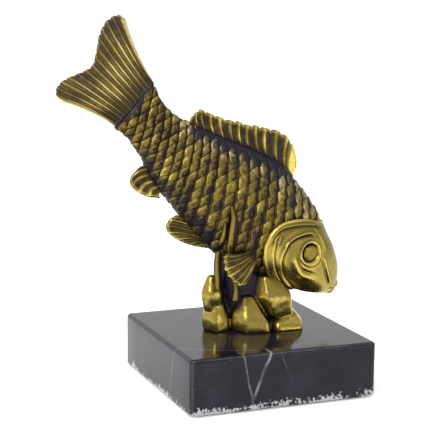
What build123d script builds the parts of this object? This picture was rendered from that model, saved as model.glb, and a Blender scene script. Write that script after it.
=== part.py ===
"""Cast brass carp on rocks, standing on a square marble plinth.

Frame: millimetres, +Z up, origin at the middle of the felt's underside. The fish lies in the
plane Y = 0, head towards +X and down, tail towards -X and up.

The fish is drawn in its own axes: s runs along the body from the tail root to the snout,
t runs from the axis towards the back, and n runs from the middle plane towards the right flank.
"""
from build123d import *
import math
import os

# Plinth, pad and fixing
plinth_side = 100.0
plinth_height = 28.0
plinth_corner_radius = 2.0
plinth_edge_radius = 1.2
felt_thickness = 1.0
felt_margin = 3.0
felt_corner_radius = 4.0
stud_radius = 3.0
stud_engagement = 14.0
stud_bore_gap = 0.4
thread_gap = 0.05
washer_radius = 6.4
washer_thickness = 1.6
nut_across_flats = 10.0
nut_height = 5.0
stud_end_length = 1.0
counterbore_radius = 9.0
counterbore_depth = 9.4

# Rocks under the fish
rock_length = 56.0
rock_width = 31.0
rock_height = 29.2
rock_middle_x = 2.4

# Fish body
body_length = 148.0
back_height = 27.6
belly_depth = 29.6
flank_width = 15.4
body_pitch = 41.22
seat_x = -1.9
section_points = 14
gill_rise = 1.1
gill_edge_rise = 0.3
mouth_groove_radius = 0.9

# Eyes
eye_radius = 4.0
eye_rim_radius = 5.7
eye_rim_rise = 0.8
eye_dome_rise = 1.0
eye_seat_depth = 2.6
eye_gap = 0.05
eye_tilt = 14.0

# Fins
fin_web = 1.8
tail_length = 35.2
tail_span = 27.0
tail_root_radius = 1.7
tail_tip_radius = 1.6
dorsal_height = 14.3
dorsal_root_radius = 1.5
dorsal_tip_radius = 1.1
dorsal_edge_radius = 2.0
anal_drop = 12.0
anal_root_radius = 1.6
anal_tip_radius = 1.2
pelvic_length = 26.0
pelvic_drop = 8.5
pelvic_root_radius = 1.1
pelvic_tip_radius = 1.3
pectoral_length = 21.0
pectoral_root_radius = 1.2
pectoral_tip_radius = 1.2
pectoral_flare = 22.0
left_pectoral_lean = 12.0
left_pectoral_turn = 55.0
root_sink = 2.0

# Pegs on the fins, and pins between fish and rocks
peg_radius = 1.0
peg_reach = 5.0
peg_hold = 2.5
peg_gap = 0.1
pin_radius = 1.5
pin_reach = 6.0

# Water weed stems
stem_radius = 1.8
stem_top_radius = 0.6
stem_sink = 3.0
stem_peg_radius = 1.2
stem_peg_length = 5.0

# Body sections: station, back, belly and half width, each as a share of its driving size
body_section_shares = (
    (0.000, 0.529, 0.515, 0.292),
    (0.054, 0.416, 0.511, 0.325),
    (0.122, 0.359, 0.572, 0.429),
    (0.203, 0.454, 0.745, 0.565),
    (0.304, 0.620, 0.850, 0.708),
    (0.419, 0.833, 0.939, 0.844),
    (0.540, 1.000, 1.000, 0.935),
    (0.628, 0.982, 0.993, 0.981),
    (0.702, 0.907, 0.926, 1.000),
    (0.770, 0.809, 0.801, 0.974),
    (0.837, 0.647, 0.683, 0.890),
    (0.905, 0.494, 0.538, 0.740),
    (0.966, 0.276, 0.363, 0.513),
    (1.000, 0.080, 0.236, 0.234),
)
# How much fuller the section is below its middle than above it
belly_fullness_share = 0.12
# Where the belly sits on the rocks, along the body
seat_share = 0.702

# Rear edge of the gill cover: station as a share of the body's length, height as a share of the back's
gill_edge_shares = (
    (0.816, 0.900), (0.790, 0.674), (0.715, 0.460), (0.664, 0.232), (0.639, 0.014),
    (0.637, -0.264), (0.656, -0.507), (0.702, -0.703), (0.770, -0.760), (0.841, -0.720),
)
eye_station_share = 0.809
eye_height_share = 0.040
mouth_height_share = -0.085

# Tail rays: root height as a share of the root, tip as shares of the tail's length and half span
tail_ray_shares = (
    (0.92, 0.878, 0.996), (0.78, 0.972, 0.937), (0.64, 1.000, 0.789), (0.48, 0.983, 0.637),
    (0.32, 0.946, 0.489), (0.16, 0.898, 0.344), (0.00, 0.832, 0.193), (-0.16, 0.767, 0.037),
    (-0.32, 0.778, -0.111), (-0.48, 0.849, -0.259), (-0.64, 0.906, -0.407), (-0.80, 0.952, -0.574),
    (-0.96, 0.932, -0.741),
)
tail_peg_shares = (0.5, -0.5)

# Dorsal rays: root and tip along the fin's base, and the tip's rise as a share of the fin's height
dorsal_base_shares = (0.184, 0.624)
dorsal_ray_shares = (
    (0.090, 0.003, 0.37), (0.175, 0.034, 0.59), (0.245, 0.113, 0.65), (0.333, 0.193, 0.64),
    (0.406, 0.276, 0.70), (0.475, 0.342, 0.77), (0.535, 0.414, 0.80), (0.618, 0.480, 0.86),
    (0.695, 0.552, 0.94), (0.779, 0.625, 0.99), (0.856, 0.730, 0.96), (0.925, 0.828, 0.75),
    (0.986, 0.926, 0.40),
)
dorsal_peg_shares = (0.20, 0.50, 0.80)

# Anal rays: root and tip along the body, and the tip's drop below the belly
anal_base_shares = (0.170, 0.294)
anal_ray_shares = (
    (0.08, -0.065, 0.50), (0.28, -0.05, 0.84), (0.50, 0.125, 0.90), (0.72, 0.425, 0.71), (0.92, 0.725, 0.45),
)
anal_peg_shares = (0.30, 0.75)

# Pelvic rays: root and tip back from the fin's root, and down from it
pelvic_root_share = 0.540
pelvic_ray_shares = (
    (0.06, 0.00, 0.94, 0.11), (0.04, 0.06, 1.00, 0.45), (0.02, 0.12, 1.00, 0.75), (0.00, 0.17, 0.92, 0.99),
    (-0.02, 0.21, 0.77, 1.00), (-0.04, 0.24, 0.54, 0.88), (-0.06, 0.26, 0.31, 0.62),
)
pelvic_peg_shares = (0.04, 0.40)

# Pectoral rays: root and tip back from the fin's root, and down from it
pectoral_root_shares = (0.642, -0.590)
pectoral_ray_shares = (
    (0.08, -0.04, 0.70, 0.64), (0.05, 0.00, 0.64, 0.78), (0.02, 0.03, 0.54, 0.92), (-0.01, 0.05, 0.36, 1.00),
    (-0.04, 0.06, 0.14, 1.02), (-0.07, 0.06, -0.08, 0.94),
)

# Boulders: foot's and top's middle as shares of the rocks' length, width and height, six reaches as
# shares of the width, then the foot's scale, the shoulder's level and scale, and the top's scale
boulder_shares = {
    "left_knob": (
        (-0.390, 0.03, 0.42), (-0.400, 0.03, 0.97), (0.17, 0.17, 0.16, 0.17, 0.17, 0.17),
        (0.66, 0.55, 1.00, 0.46),
    ),
    "left_foot": (
        (-0.307, 0.05, -0.03), (-0.335, 0.05, 0.57), (0.19, 0.32, 0.32, 0.28, 0.27, 0.30),
        (0.96, 0.66, 1.00, 0.60),
    ),
    "front": (
        (-0.085, -0.14, -0.03), (-0.145, -0.12, 0.61), (0.38, 0.34, 0.32, 0.40, 0.34, 0.38),
        (0.94, 0.50, 1.00, 0.46),
    ),
    "leaning": (
        (0.262, -0.06, 0.22), (0.145, -0.02, 0.98), (0.27, 0.30, 0.30, 0.31, 0.34, 0.32),
        (0.72, 0.48, 1.00, 0.66),
    ),
    "right_foot": (
        (0.278, -0.12, -0.03), (0.272, -0.06, 0.33), (0.37, 0.34, 0.32, 0.35, 0.40, 0.40),
        (0.98, 0.45, 0.98, 0.50),
    ),
    "back_left": (
        (-0.196, 0.21, -0.03), (-0.196, 0.19, 0.62), (0.32, 0.31, 0.32, 0.34, 0.29, 0.29),
        (0.96, 0.55, 1.00, 0.60),
    ),
    "back_right": (
        (0.161, 0.20, -0.03), (0.136, 0.18, 0.72), (0.39, 0.34, 0.34, 0.32, 0.29, 0.29),
        (0.96, 0.50, 1.00, 0.62),
    ),
    "carrier": (
        (-0.089, 0.08, 0.17), (-0.093, 0.08, 1.30), (0.37, 0.31, 0.31, 0.37, 0.30, 0.30),
        (0.96, 0.50, 1.00, 1.00),
    ),
}
boulder_edge_radius = 1.6
pin_station_shares = (0.674, 0.775)
pin_side_share = -0.10

# Stem feet as shares of the rocks' length, width and height; tops as shares along and across the body
rear_stem_foot_shares = (-0.354, -0.03, 0.82)
rear_stem_top_shares = ((0.540, -0.86), (0.507, -0.70))
front_stem_foot_shares = (-0.216, -0.26, 0.56)
front_stem_top_shares = ((0.568, -0.78), (0.517, -0.60), (0.453, -0.27))

# Worked out from the sizes above
plinth_top = felt_thickness + plinth_height
reach = plinth_side
half_pitch = math.radians(body_pitch)


def along_body(share, column):
    """A body size at a share of the body's length, straight between the sections."""
    size = (back_height, belly_depth, flank_width)[column - 1]
    for one, two in zip(body_section_shares, body_section_shares[1:]):
        if share <= two[0]:
            break
    part_way = (share - one[0]) / (two[0] - one[0])
    return size * (one[column] + part_way * (two[column] - one[column]))


def back_at(share):
    return along_body(share, 1)


def belly_at(share):
    return -along_body(share, 2)


def flank_at(share, height):
    """How far the flank stands out from the middle plane at this height."""
    middle = (back_at(share) + belly_at(share)) / 2
    half_height = (back_at(share) - belly_at(share)) / 2
    level = max(-1, min(1, (height - middle) / half_height))
    return along_body(share, 3) * math.sqrt(1 - level * level) * (1 - belly_fullness_share * level)


fish_along = Vector(math.cos(half_pitch), 0, -math.sin(half_pitch))
fish_up = Vector(math.sin(half_pitch), 0, math.cos(half_pitch))
seat_point = Vector(seat_x, 0, plinth_top + rock_height)
tail_root = seat_point - fish_along * (seat_share * body_length) - fish_up * belly_at(seat_share)
fish_plane = Plane(origin=tail_root, x_dir=fish_along, z_dir=(0, -1, 0))
rock_plane = Plane(origin=(rock_middle_x, 0, plinth_top))


def placed(shape):
    """Move a shape from the fish's own axes to its place over the plinth."""
    return shape.moved(fish_plane.location)


def largest(shape):
    """The main solid of a cut or an overlap."""
    return shape.solids().sort_by(SortBy.VOLUME)[-1]


def joined(shapes):
    """Several overlapping shapes as one solid, added one after the other."""
    whole = shapes[0]
    for shape in shapes[1:]:
        whole = largest(whole.fuse(shape))
    return whole.clean()


def body_form(side_rise, edge_rise):
    """The fish without fins, swollen by side_rise at the flanks and edge_rise at back and belly."""
    wires = []
    for station, back, belly, width in body_section_shares:
        top = back * back_height + edge_rise
        bottom = -belly * belly_depth - edge_rise
        half_width = width * flank_width + side_rise
        middle = (top + bottom) / 2
        half_height = (top - bottom) / 2
        points = []
        for k in range(section_points):
            angle = math.tau * k / section_points
            level = math.sin(angle)
            side = half_width * math.cos(angle) * (1 - belly_fullness_share * level)
            points.append((station * (body_length + edge_rise), middle + half_height * level, side))
        wires.append(Wire([Edge.make_spline(points, periodic=True)]))
    return Solid.make_loft(wires)


def gill_cover_form():
    """The head from the gill edge forward, standing proud of the trunk by the gill rise."""
    edge = [Vector(along * body_length, high * back_height) for along, high in gill_edge_shares]
    ahead = body_length + back_height
    corners = [edge[-1], (ahead, edge[-1].Y - back_height), (ahead, back_height), edge[0]]
    outline = make_face([Edge.make_spline(edge), *Polyline(*corners).edges()])
    prism = Solid.extrude(Pos(0, 0, -reach) * outline.face(), (0, 0, 2 * reach))
    return largest(body_form(gill_rise, gill_edge_rise).intersect(prism))


def eye_frame():
    """The eye's own plane on the right flank, facing out along the cheek."""
    height = eye_height_share * back_height
    side = flank_at(eye_station_share, height) + gill_rise
    tilt = math.radians(eye_tilt)
    return Plane(
        origin=(eye_station_share * body_length, height, side),
        x_dir=(math.cos(tilt), 0, -math.sin(tilt)),
        z_dir=(math.sin(tilt), 0, math.cos(tilt)),
    )


def drum(radius, low, high, plane):
    """A cylinder about a plane's axis from one height to another."""
    return Solid.make_cylinder(radius, high - low, plane.offset(low))


def mirrored_pair(shape):
    """A shape on the right flank and its mirror image on the left one."""
    return shape, shape.mirror(Plane.XY)


def finger(start, end, root_radius, tip_radius):
    """A tapered round ray with a ball end."""
    run = end - start
    slant = math.sqrt(0.5) * tip_radius
    profile = make_face(
        [
            Line((0, 0), (root_radius, 0)),
            Line((root_radius, 0), (tip_radius, run.length)),
            ThreePointArc((tip_radius, run.length), (slant, run.length + slant), (0, run.length + tip_radius)),
            Line((0, run.length + tip_radius), (0, 0)),
        ]
    )
    return revolve(Plane.XZ * profile, Axis.Z).solid().moved(Plane(origin=start, z_dir=run).location)


def fan(roots, tips, root_radius, tip_radius):
    """A fin in the XY plane: a thin web between raised rays."""
    start = [Vector(*root) for root in roots]
    end = [Vector(*tip) for tip in tips]
    outline = Pos(0, 0, -fin_web / 2) * Face(Wire.make_polygon(start + end[::-1]))
    web = Solid.extrude(outline.face(), (0, 0, fin_web))
    rays = [finger(a, b, root_radius, tip_radius) for a, b in zip(start, end)]
    return joined([web, *rays])


def peg(start, direction, hold, radius):
    """A round peg through the skin at start, with its hole. It reaches hold outwards."""
    plane = Plane(origin=start, z_dir=direction)
    pin = drum(radius, -hold, peg_reach, plane)
    hole = drum(radius + peg_gap, -hold, peg_reach + peg_gap, plane)
    return pin, hole


def tail_blank():
    """The forked tail, its rays fanned from the root."""
    top = back_at(0) - tail_root_radius
    bottom = belly_at(0) + tail_root_radius
    middle = (top + bottom) / 2
    half = (top - bottom) / 2
    roots = [(root_sink, middle + half * root) for root, _, _ in tail_ray_shares]
    tips = [(-tail_length * far, tail_span * high) for _, far, high in tail_ray_shares]
    pegs = [peg(Vector(0, half * share, 0), (1, 0, 0), peg_hold, peg_radius) for share in tail_peg_shares]
    return fan(roots, tips, tail_root_radius, tail_tip_radius), pegs


def dorsal_blank():
    """The long back fin, its rays leaning towards the tail, with a thick front edge."""
    first, last = dorsal_base_shares
    spread = last - first
    roots = []
    tips = []
    for root, tip, rise in dorsal_ray_shares:
        foot = first + spread * root
        head = first + spread * tip
        roots.append((foot * body_length, back_at(foot) - root_sink))
        tips.append((head * body_length, back_at(head) + rise * dorsal_height - dorsal_tip_radius))
    blade = fan(roots, tips, dorsal_root_radius, dorsal_tip_radius)
    edge = [Vector(*roots[-1]), Vector(*tips[-1]), Vector(*tips[-2]), Vector(*tips[-3])]
    rim = [
        finger(a, b, dorsal_edge_radius, dorsal_edge_radius) for a, b in zip(edge, edge[1:])
    ]
    pegs = []
    for share in dorsal_peg_shares:
        station = first + spread * share
        skin = Vector(station * body_length, back_at(station), 0)
        pegs.append(peg(skin, (0, -1, 0), peg_hold, peg_radius))
    return joined([blade, *rim]), pegs


def anal_blank():
    """The short fin under the tail's root, its rays swept back."""
    first, last = anal_base_shares
    spread = last - first
    roots = []
    tips = []
    for root, tip, drop in anal_ray_shares:
        foot = first + spread * root
        head = first + spread * tip
        roots.append((foot * body_length, belly_at(foot) + root_sink))
        tips.append((head * body_length, belly_at(head) - drop * anal_drop + anal_tip_radius))
    pegs = []
    for share in anal_peg_shares:
        station = first + spread * share
        skin = Vector(station * body_length, belly_at(station), 0)
        pegs.append(peg(skin, (0, 1, 0), peg_hold, peg_radius))
    return fan(roots, tips, anal_root_radius, anal_tip_radius), pegs


def pelvic_blank():
    """The belly fin, in the middle plane, its rays swept back from a short root."""
    skin = Vector(pelvic_root_share * body_length, belly_at(pelvic_root_share))
    root = skin + Vector(0, root_sink)
    roots = []
    tips = []
    for back, down, tip_back, tip_down in pelvic_ray_shares:
        roots.append(root - Vector(back * pelvic_length, down * pelvic_drop))
        tips.append(root - Vector(tip_back * pelvic_length, tip_down * pelvic_drop))
    pegs = []
    for share in pelvic_peg_shares:
        station = pelvic_root_share - share * pelvic_length / body_length
        start = Vector(station * body_length, belly_at(station), 0)
        pegs.append(peg(start, (0, 1, 0), peg_hold, peg_radius))
    return fan(roots, tips, pelvic_root_radius, pelvic_tip_radius), pegs


def pectoral_fan():
    """A pectoral fin in the XY plane about its root."""
    size = pectoral_length
    roots = [(-back * size, -down * size) for back, down, _, _ in pectoral_ray_shares]
    tips = [(-back * size, -down * size) for _, _, back, down in pectoral_ray_shares]
    return fan(roots, tips, pectoral_root_radius, pectoral_tip_radius)


def pectoral_pair():
    """The right fin stands out as it goes down. The left one is laid back along the flank."""
    station, level = pectoral_root_shares
    height = level * belly_depth
    origin = Vector(station * body_length, height, flank_at(station, height))
    flare = math.radians(pectoral_flare)
    lean = math.radians(left_pectoral_lean)
    down = Plane(origin=origin, x_dir=(1, 0, 0), z_dir=(0, math.sin(flare), math.cos(flare)))
    back = Plane(
        origin=origin, x_dir=(math.cos(lean), 0, -math.sin(lean)), z_dir=(math.sin(lean), 0, math.cos(lean))
    )
    blade = pectoral_fan()
    right = blade.moved(down.location)
    left = blade.rotate(Axis.Z, -left_pectoral_turn).moved(back.location).mirror(Plane.XY)
    pin, hole = peg(origin, (0, 0, -1), peg_hold, peg_radius)
    return (right, [(pin, hole)]), (left, [(pin.mirror(Plane.XY), hole.mirror(Plane.XY))])


def seated_fin(blank, pegs, carrier):
    """A fin cut to the body's skin, with its pegs."""
    return joined([largest(blank.cut(carrier)), *[pin for pin, _ in pegs]])


def locating_pins():
    """Upright pins between belly and rocks, in the fish's axes, with their holes."""
    pins = []
    holes = []
    for share in pin_station_shares:
        skin = Vector(share * body_length, belly_at(share), pin_side_share * flank_width)
        plane = Plane(origin=skin, z_dir=(0, 1, 0))
        pins.append(drum(pin_radius, -pin_reach, pin_reach, plane))
        holes.append(drum(pin_radius + peg_gap, -pin_reach - peg_gap, pin_reach + peg_gap, plane))
    return pins, holes


def boulder(low, high, reaches, steps):
    """One block of the rocks: three six-sided rings one above the other, with worn edges."""
    extent = (rock_length, rock_width, rock_height)
    foot_scale, shoulder_level, shoulder_scale, top_scale = steps
    rings = []
    for level, scale in ((0, foot_scale), (shoulder_level, shoulder_scale), (1, top_scale)):
        middle = Vector(*[(a + level * (b - a)) * whole for a, b, whole in zip(low, high, extent)])
        corners = []
        for k, reach_share in enumerate(reaches):
            angle = math.tau * k / len(reaches)
            side = scale * reach_share * rock_width
            corners.append(middle + Vector(side * math.cos(angle), side * math.sin(angle), 0))
        rings.append(Wire.make_polygon(corners, close=True))
    block = Solid.make_loft(rings, ruled=True)
    return block.fillet(boulder_edge_radius, block.edges())


def rock_blank():
    """The heap of boulders, cut flat on the plinth."""
    heap = joined([boulder(*shares) for shares in boulder_shares.values()])
    above = Box(2 * reach, 2 * reach, reach, align=(Align.CENTER, Align.CENTER, Align.MIN))
    return largest(heap.intersect(above.solid())).moved(rock_plane.location)


def stem(foot_shares, top_shares):
    """A weed stem from the rocks up the right flank, with the peg under its foot."""
    foot = rock_plane.from_local_coords(
        Vector(foot_shares[0] * rock_length, foot_shares[1] * rock_width, foot_shares[2] * rock_height)
    )
    guides = [foot - Vector(0, 0, stem_sink), foot]
    for station, level in top_shares:
        height = level * belly_depth
        skin = Vector(station * body_length, height, flank_at(station, height))
        guides.append(fish_plane.from_local_coords(skin))
    radii = [stem_radius] * (len(guides) - 1) + [stem_top_radius]
    rings = [Wire.make_circle(radius, Plane(point)) for point, radius in zip(guides, radii)]
    plane = Plane(origin=guides[0], z_dir=(0, 0, -1))
    pin = drum(stem_peg_radius, -stem_sink, stem_peg_length, plane)
    hole = drum(stem_peg_radius + peg_gap, -stem_sink, stem_peg_length + peg_gap, plane)
    return Solid.make_loft(rings), pin, hole


def rounded_slab(side, height, corner_radius, bottom):
    slab = Box(side, side, height, align=(Align.CENTER, Align.CENTER, Align.MIN))
    return Pos(0, 0, bottom) * fillet(slab.edges().filter_by(Axis.Z), corner_radius)


def plinth():
    """The marble block, drilled from top to bottom and counterbored below."""
    slab = rounded_slab(plinth_side, plinth_height, plinth_corner_radius, felt_thickness)
    rims = slab.faces().sort_by(Axis.Z)[-1].edges() + slab.faces().sort_by(Axis.Z)[0].edges()
    slab = fillet(rims, plinth_edge_radius)
    axis = Plane(origin=(rock_middle_x, 0, 0))
    bore = drum(stud_radius + stud_bore_gap, 0, plinth_top, axis)
    recess = drum(counterbore_radius, 0, felt_thickness + counterbore_depth, axis)
    return slab.solid().cut(bore, recess)


def fixing():
    """Stud, washer and nut that pull the rocks down on the plinth, and the stud's tapped hole."""
    axis = Plane(origin=(rock_middle_x, 0, 0))
    seat = felt_thickness + counterbore_depth
    nut_top = seat - washer_thickness
    nut_bottom = nut_top - nut_height
    stud = drum(stud_radius, nut_bottom - stud_end_length, plinth_top + stud_engagement, axis)
    washer_hole = drum(stud_radius + stud_bore_gap, 0, plinth_top, axis)
    washer = drum(washer_radius, nut_top, seat, axis).cut(washer_hole)
    across = RegularPolygon(nut_across_flats / 2, 6, major_radius=False)
    hexagon = extrude(Pos(rock_middle_x, 0, nut_bottom) * across, nut_height).solid()
    nut = hexagon.cut(drum(stud_radius + thread_gap, 0, plinth_top, axis))
    tapped = drum(stud_radius + thread_gap, plinth_top, plinth_top + stud_engagement + stud_end_length, axis)
    return stud, washer, nut, tapped


def eye_parts():
    """The raised rim round the right eye, the socket in it and the domed eye that fills the socket."""
    frame = eye_frame()
    rim = drum(eye_rim_radius, -2 * eye_seat_depth, eye_rim_rise, frame)
    socket = drum(eye_radius + eye_gap, -eye_seat_depth, reach, frame)
    dome_radius = (eye_radius**2 + eye_dome_rise**2) / (2 * eye_dome_rise)
    part_way = eye_radius / 2
    part_rise = eye_dome_rise - dome_radius + math.sqrt(dome_radius**2 - part_way**2)
    profile = make_face(
        [
            Line((0, -eye_seat_depth), (eye_radius, -eye_seat_depth)),
            Line((eye_radius, -eye_seat_depth), (eye_radius, 0)),
            ThreePointArc((eye_radius, 0), (part_way, part_rise), (0, eye_dome_rise)),
            Line((0, eye_dome_rise), (0, -eye_seat_depth)),
        ]
    )
    eye = revolve(Plane.XZ * profile, Axis.Z).solid().moved(frame.location)
    return rim, socket, eye


def build():
    """Every piece under its node's name."""
    trunk = body_form(0, 0)
    rim, socket, eye = eye_parts()
    body_blank = joined([trunk, gill_cover_form(), *mirrored_pair(rim)])
    nodes = {}
    holes = []
    pectoral_right, pectoral_left = pectoral_pair()
    for name, (blank, pegs) in {
        "tail_fin": tail_blank(),
        "dorsal_fin": dorsal_blank(),
        "anal_fin": anal_blank(),
        "pelvic_fin": pelvic_blank(),
        "pectoral_fin_right": pectoral_right,
        "pectoral_fin_left": pectoral_left,
    }.items():
        nodes[name] = placed(seated_fin(blank, pegs, body_blank))
        holes += [hole for _, hole in pegs]
    eye_right, eye_left = mirrored_pair(eye)
    nodes["eye_right"] = placed(eye_right)
    nodes["eye_left"] = placed(eye_left)
    pins, pin_holes = locating_pins()
    nodes["locating_pins"] = Compound([placed(pin) for pin in pins])
    snout = Plane(origin=(body_length + edge_of_mouth(), mouth_height_share * back_height, 0))
    groove = drum(mouth_groove_radius, -reach, reach, snout)
    body = body_blank.cut(*holes, *pin_holes, *mirrored_pair(socket), groove)
    nodes["fish_body"] = placed(body)

    stud, washer, nut, tapped = fixing()
    nodes["fixing_stud"] = stud
    nodes["fixing_washer"] = washer
    nodes["fixing_nut"] = nut
    rock = rock_blank().cut(placed(body_blank))
    stem_holes = []
    for name, feet, tops in (
        ("weed_stem_rear", rear_stem_foot_shares, rear_stem_top_shares),
        ("weed_stem_front", front_stem_foot_shares, front_stem_top_shares),
    ):
        stalk, pin, hole = stem(feet, tops)
        stalk = largest(stalk.cut(placed(body_blank), rock))
        nodes[name] = joined([stalk, pin])
        stem_holes.append(hole)
    nodes["rock_base"] = rock.cut(tapped, *stem_holes, *[placed(hole) for hole in pin_holes])
    nodes["marble_plinth"] = plinth()
    nodes["felt_pad"] = rounded_slab(
        plinth_side - 2 * felt_margin, felt_thickness, felt_corner_radius, 0
    ).solid()
    return nodes


def edge_of_mouth():
    """How far ahead of the snout's section the mouth groove's axis lies."""
    return gill_edge_rise


os.makedirs("parts", exist_ok=True)
for node, shape in build().items():
    export_step(shape, f"parts/{node}.step")
    print(node, len(shape.solids()), "solid", round(shape.volume), "mm3")
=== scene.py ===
# %% [markdown]
# # A brass carp on a marble plinth
#
# This lesson dresses a small ornament: a carp cast in brass, head down on a heap of rocks, bolted
# to a square of black marble. The construction comes as a fixed frame of solids at their real
# size. Each step here adds the finish and the fine forms that the frame leaves out: scales, gill
# covers, fin rays, worn metal and veined stone.

# %% Load the frame
import math

import bmesh
import bpy
import numpy as np
from mathutils import Matrix, Vector, noise
from mathutils.bvhtree import BVHTree


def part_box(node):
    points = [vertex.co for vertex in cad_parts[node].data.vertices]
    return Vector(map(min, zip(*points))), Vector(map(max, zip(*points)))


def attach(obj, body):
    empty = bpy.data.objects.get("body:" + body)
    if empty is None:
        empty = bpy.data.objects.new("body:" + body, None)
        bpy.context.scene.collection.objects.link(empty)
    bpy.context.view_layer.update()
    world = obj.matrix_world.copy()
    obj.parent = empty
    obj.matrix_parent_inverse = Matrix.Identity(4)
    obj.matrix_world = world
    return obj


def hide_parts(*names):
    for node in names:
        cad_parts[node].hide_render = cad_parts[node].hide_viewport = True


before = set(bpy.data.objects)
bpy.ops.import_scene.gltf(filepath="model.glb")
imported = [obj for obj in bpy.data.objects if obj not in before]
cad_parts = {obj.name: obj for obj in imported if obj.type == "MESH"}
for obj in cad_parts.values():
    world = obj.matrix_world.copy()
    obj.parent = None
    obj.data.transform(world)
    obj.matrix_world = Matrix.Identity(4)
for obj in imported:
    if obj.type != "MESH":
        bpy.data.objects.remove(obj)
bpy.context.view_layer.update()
MM = 0.001

# %% [markdown]
# ## The camera
#
# The photograph was taken from a little left of the fish's flank and a little above it. The
# camera could be placed by eye, but its place and its lens were worked out from the corners of
# the square plinth, so that every edge falls where the photograph has it.

# %% Place the camera
camera_azimuth = math.radians(-21.957)
camera_height_angle = math.radians(9.974)
camera_roll = math.radians(0.541)
camera_place = Vector((-267.84, -619.93, 206.43)) * MM

camera_data = bpy.data.cameras.new("camera")
camera_data.lens = 110.846
camera_data.sensor_width = 36.0
camera = bpy.data.objects.new("camera", camera_data)
level_right = Vector((math.cos(camera_azimuth), math.sin(camera_azimuth), 0))
looking = Vector((
    -math.sin(camera_azimuth) * math.cos(camera_height_angle),
    math.cos(camera_azimuth) * math.cos(camera_height_angle),
    -math.sin(camera_height_angle),
))
level_up = level_right.cross(looking)
right_hand = math.cos(camera_roll) * level_right + math.sin(camera_roll) * level_up
overhead = math.cos(camera_roll) * level_up - math.sin(camera_roll) * level_right
turn = Matrix((right_hand, overhead, -looking)).transposed().to_4x4()
camera.matrix_world = Matrix.Translation(camera_place) @ turn
bpy.context.collection.objects.link(camera)
bpy.context.scene.camera = camera

# %% [markdown]
# ## Small helpers for meshes
#
# Every piece ends the same way: one mesh object at the origin, a material, the body it rides on
# and the solids it stands for, which are hidden. The helpers keep those
# steps in one place, so that the cells that follow can be about shapes.


# %% Helpers for meshes
def put(name, data):
    """A new object in the scene, from its mesh or lamp."""
    made = bpy.data.objects.new(name, data)
    bpy.context.collection.objects.link(made)
    return made


def new_object(name, points, faces, smooth=True):
    """A mesh object at the origin, from points in metres."""
    mesh = bpy.data.meshes.new(name)
    mesh.from_pydata([tuple(p) for p in points], [], [tuple(f) for f in faces])
    mesh.update()
    for polygon in mesh.polygons:
        polygon.use_smooth = smooth
    return put(name, mesh)


def object_from(name, work):
    """A mesh object from a mesh that was being worked on."""
    mesh = bpy.data.meshes.new(name)
    work.to_mesh(mesh)
    work.free()
    return put(name, mesh)


def ring_faces(rings, count, closed=False):
    """Quads between rings of points. A closed run joins the last ring to the first."""
    faces = []
    for i in range(rings if closed else rings - 1):
        here = i * count
        after = (i + 1) % rings * count
        for j in range(count):
            k = (j + 1) % count
            faces.append((here + j, after + j, after + k, here + k))
    return faces


def tidy_normals(piece):
    """Turns every face of a closed mesh outwards."""
    work = bmesh.new()
    work.from_mesh(piece.data)
    bmesh.ops.recalc_face_normals(work, faces=work.faces)
    if work.calc_volume(signed=True) < 0:
        bmesh.ops.reverse_faces(work, faces=work.faces)
    work.to_mesh(piece.data)
    work.free()


def store(piece, name, values, kind="FLOAT"):
    """Keeps one value for each point of a mesh."""
    layer = piece.data.attributes.get(name) or piece.data.attributes.new(name, kind, "POINT")
    field = "value" if kind == "FLOAT" else "vector"
    layer.data.foreach_set(field, np.asarray(values, np.float32).ravel())


def read(layer, field):
    """The vectors in one layer of a mesh, a row for each point."""
    flat = np.empty(len(layer) * 3, np.float32)
    layer.foreach_get(field, flat)
    return flat.reshape(-1, 3).astype(float)


def modify(piece, name, kind, **settings):
    """Adds a modifier with its settings."""
    made = piece.modifiers.new(name, kind)
    for setting, value in settings.items():
        setattr(made, setting, value)
    return made


def settled(piece):
    """Turns a piece's modifiers into plain mesh."""
    depsgraph = bpy.context.evaluated_depsgraph_get()
    mesh = bpy.data.meshes.new_from_object(piece.evaluated_get(depsgraph), depsgraph=depsgraph)
    mesh.name = piece.name
    piece.modifiers.clear()
    piece.data = mesh
    return piece


def keep(piece, material, slot, *nodes):
    """Gives a finished piece its material and its place in the frame."""
    piece.data.materials.clear()
    piece.data.materials.append(material)
    if "tone" not in piece.data.attributes:
        store(piece, "tone", np.full(len(piece.data.vertices), 0.5))
    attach(piece, "root")
    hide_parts(*nodes)
    print(piece.name, len(piece.data.vertices), "points", len(piece.data.polygons), "faces")


# %% [markdown]
# ## Small helpers for node trees
#
# A node tree written out link by link soon fills a screen. These helpers make a node, a group or
# a material in one line each, so that a tree reads like the sum that it works out.


# %% Helpers for node trees
def fill(tree, node, inputs):
    """Sets or links a node's inputs."""
    for socket, value in inputs.items():
        if isinstance(value, bpy.types.NodeSocket):
            tree.links.new(value, node.inputs[socket])
        else:
            node.inputs[socket].default_value = value


def add(tree, kind, inputs=None, **settings):
    """Adds a node, sets its properties, and fills or links its inputs."""
    made = tree.nodes.new(kind)
    for name, value in settings.items():
        setattr(made, name, value)
    fill(tree, made, inputs or {})
    return made


def calc(tree, operation, *values):
    """A math node's result."""
    return add(tree, "ShaderNodeMath", dict(enumerate(values)), operation=operation).outputs[0]


def vector(tree, operation, inputs):
    """A vector math node's result: a number for a product or a distance, otherwise a vector."""
    outputs = add(tree, "ShaderNodeVectorMath", inputs, operation=operation).outputs
    return outputs["Value" if operation in ("DOT_PRODUCT", "DISTANCE") else "Vector"]


def smooth_between(tree, value, low, high, first=0.0, last=1.0):
    """Eases a value from first to last while the input goes from low to high."""
    inputs = {0: value, 1: low, 2: high, 3: first, 4: last}
    return add(tree, "ShaderNodeMapRange", inputs, interpolation_type="SMOOTHSTEP").outputs[0]


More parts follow.
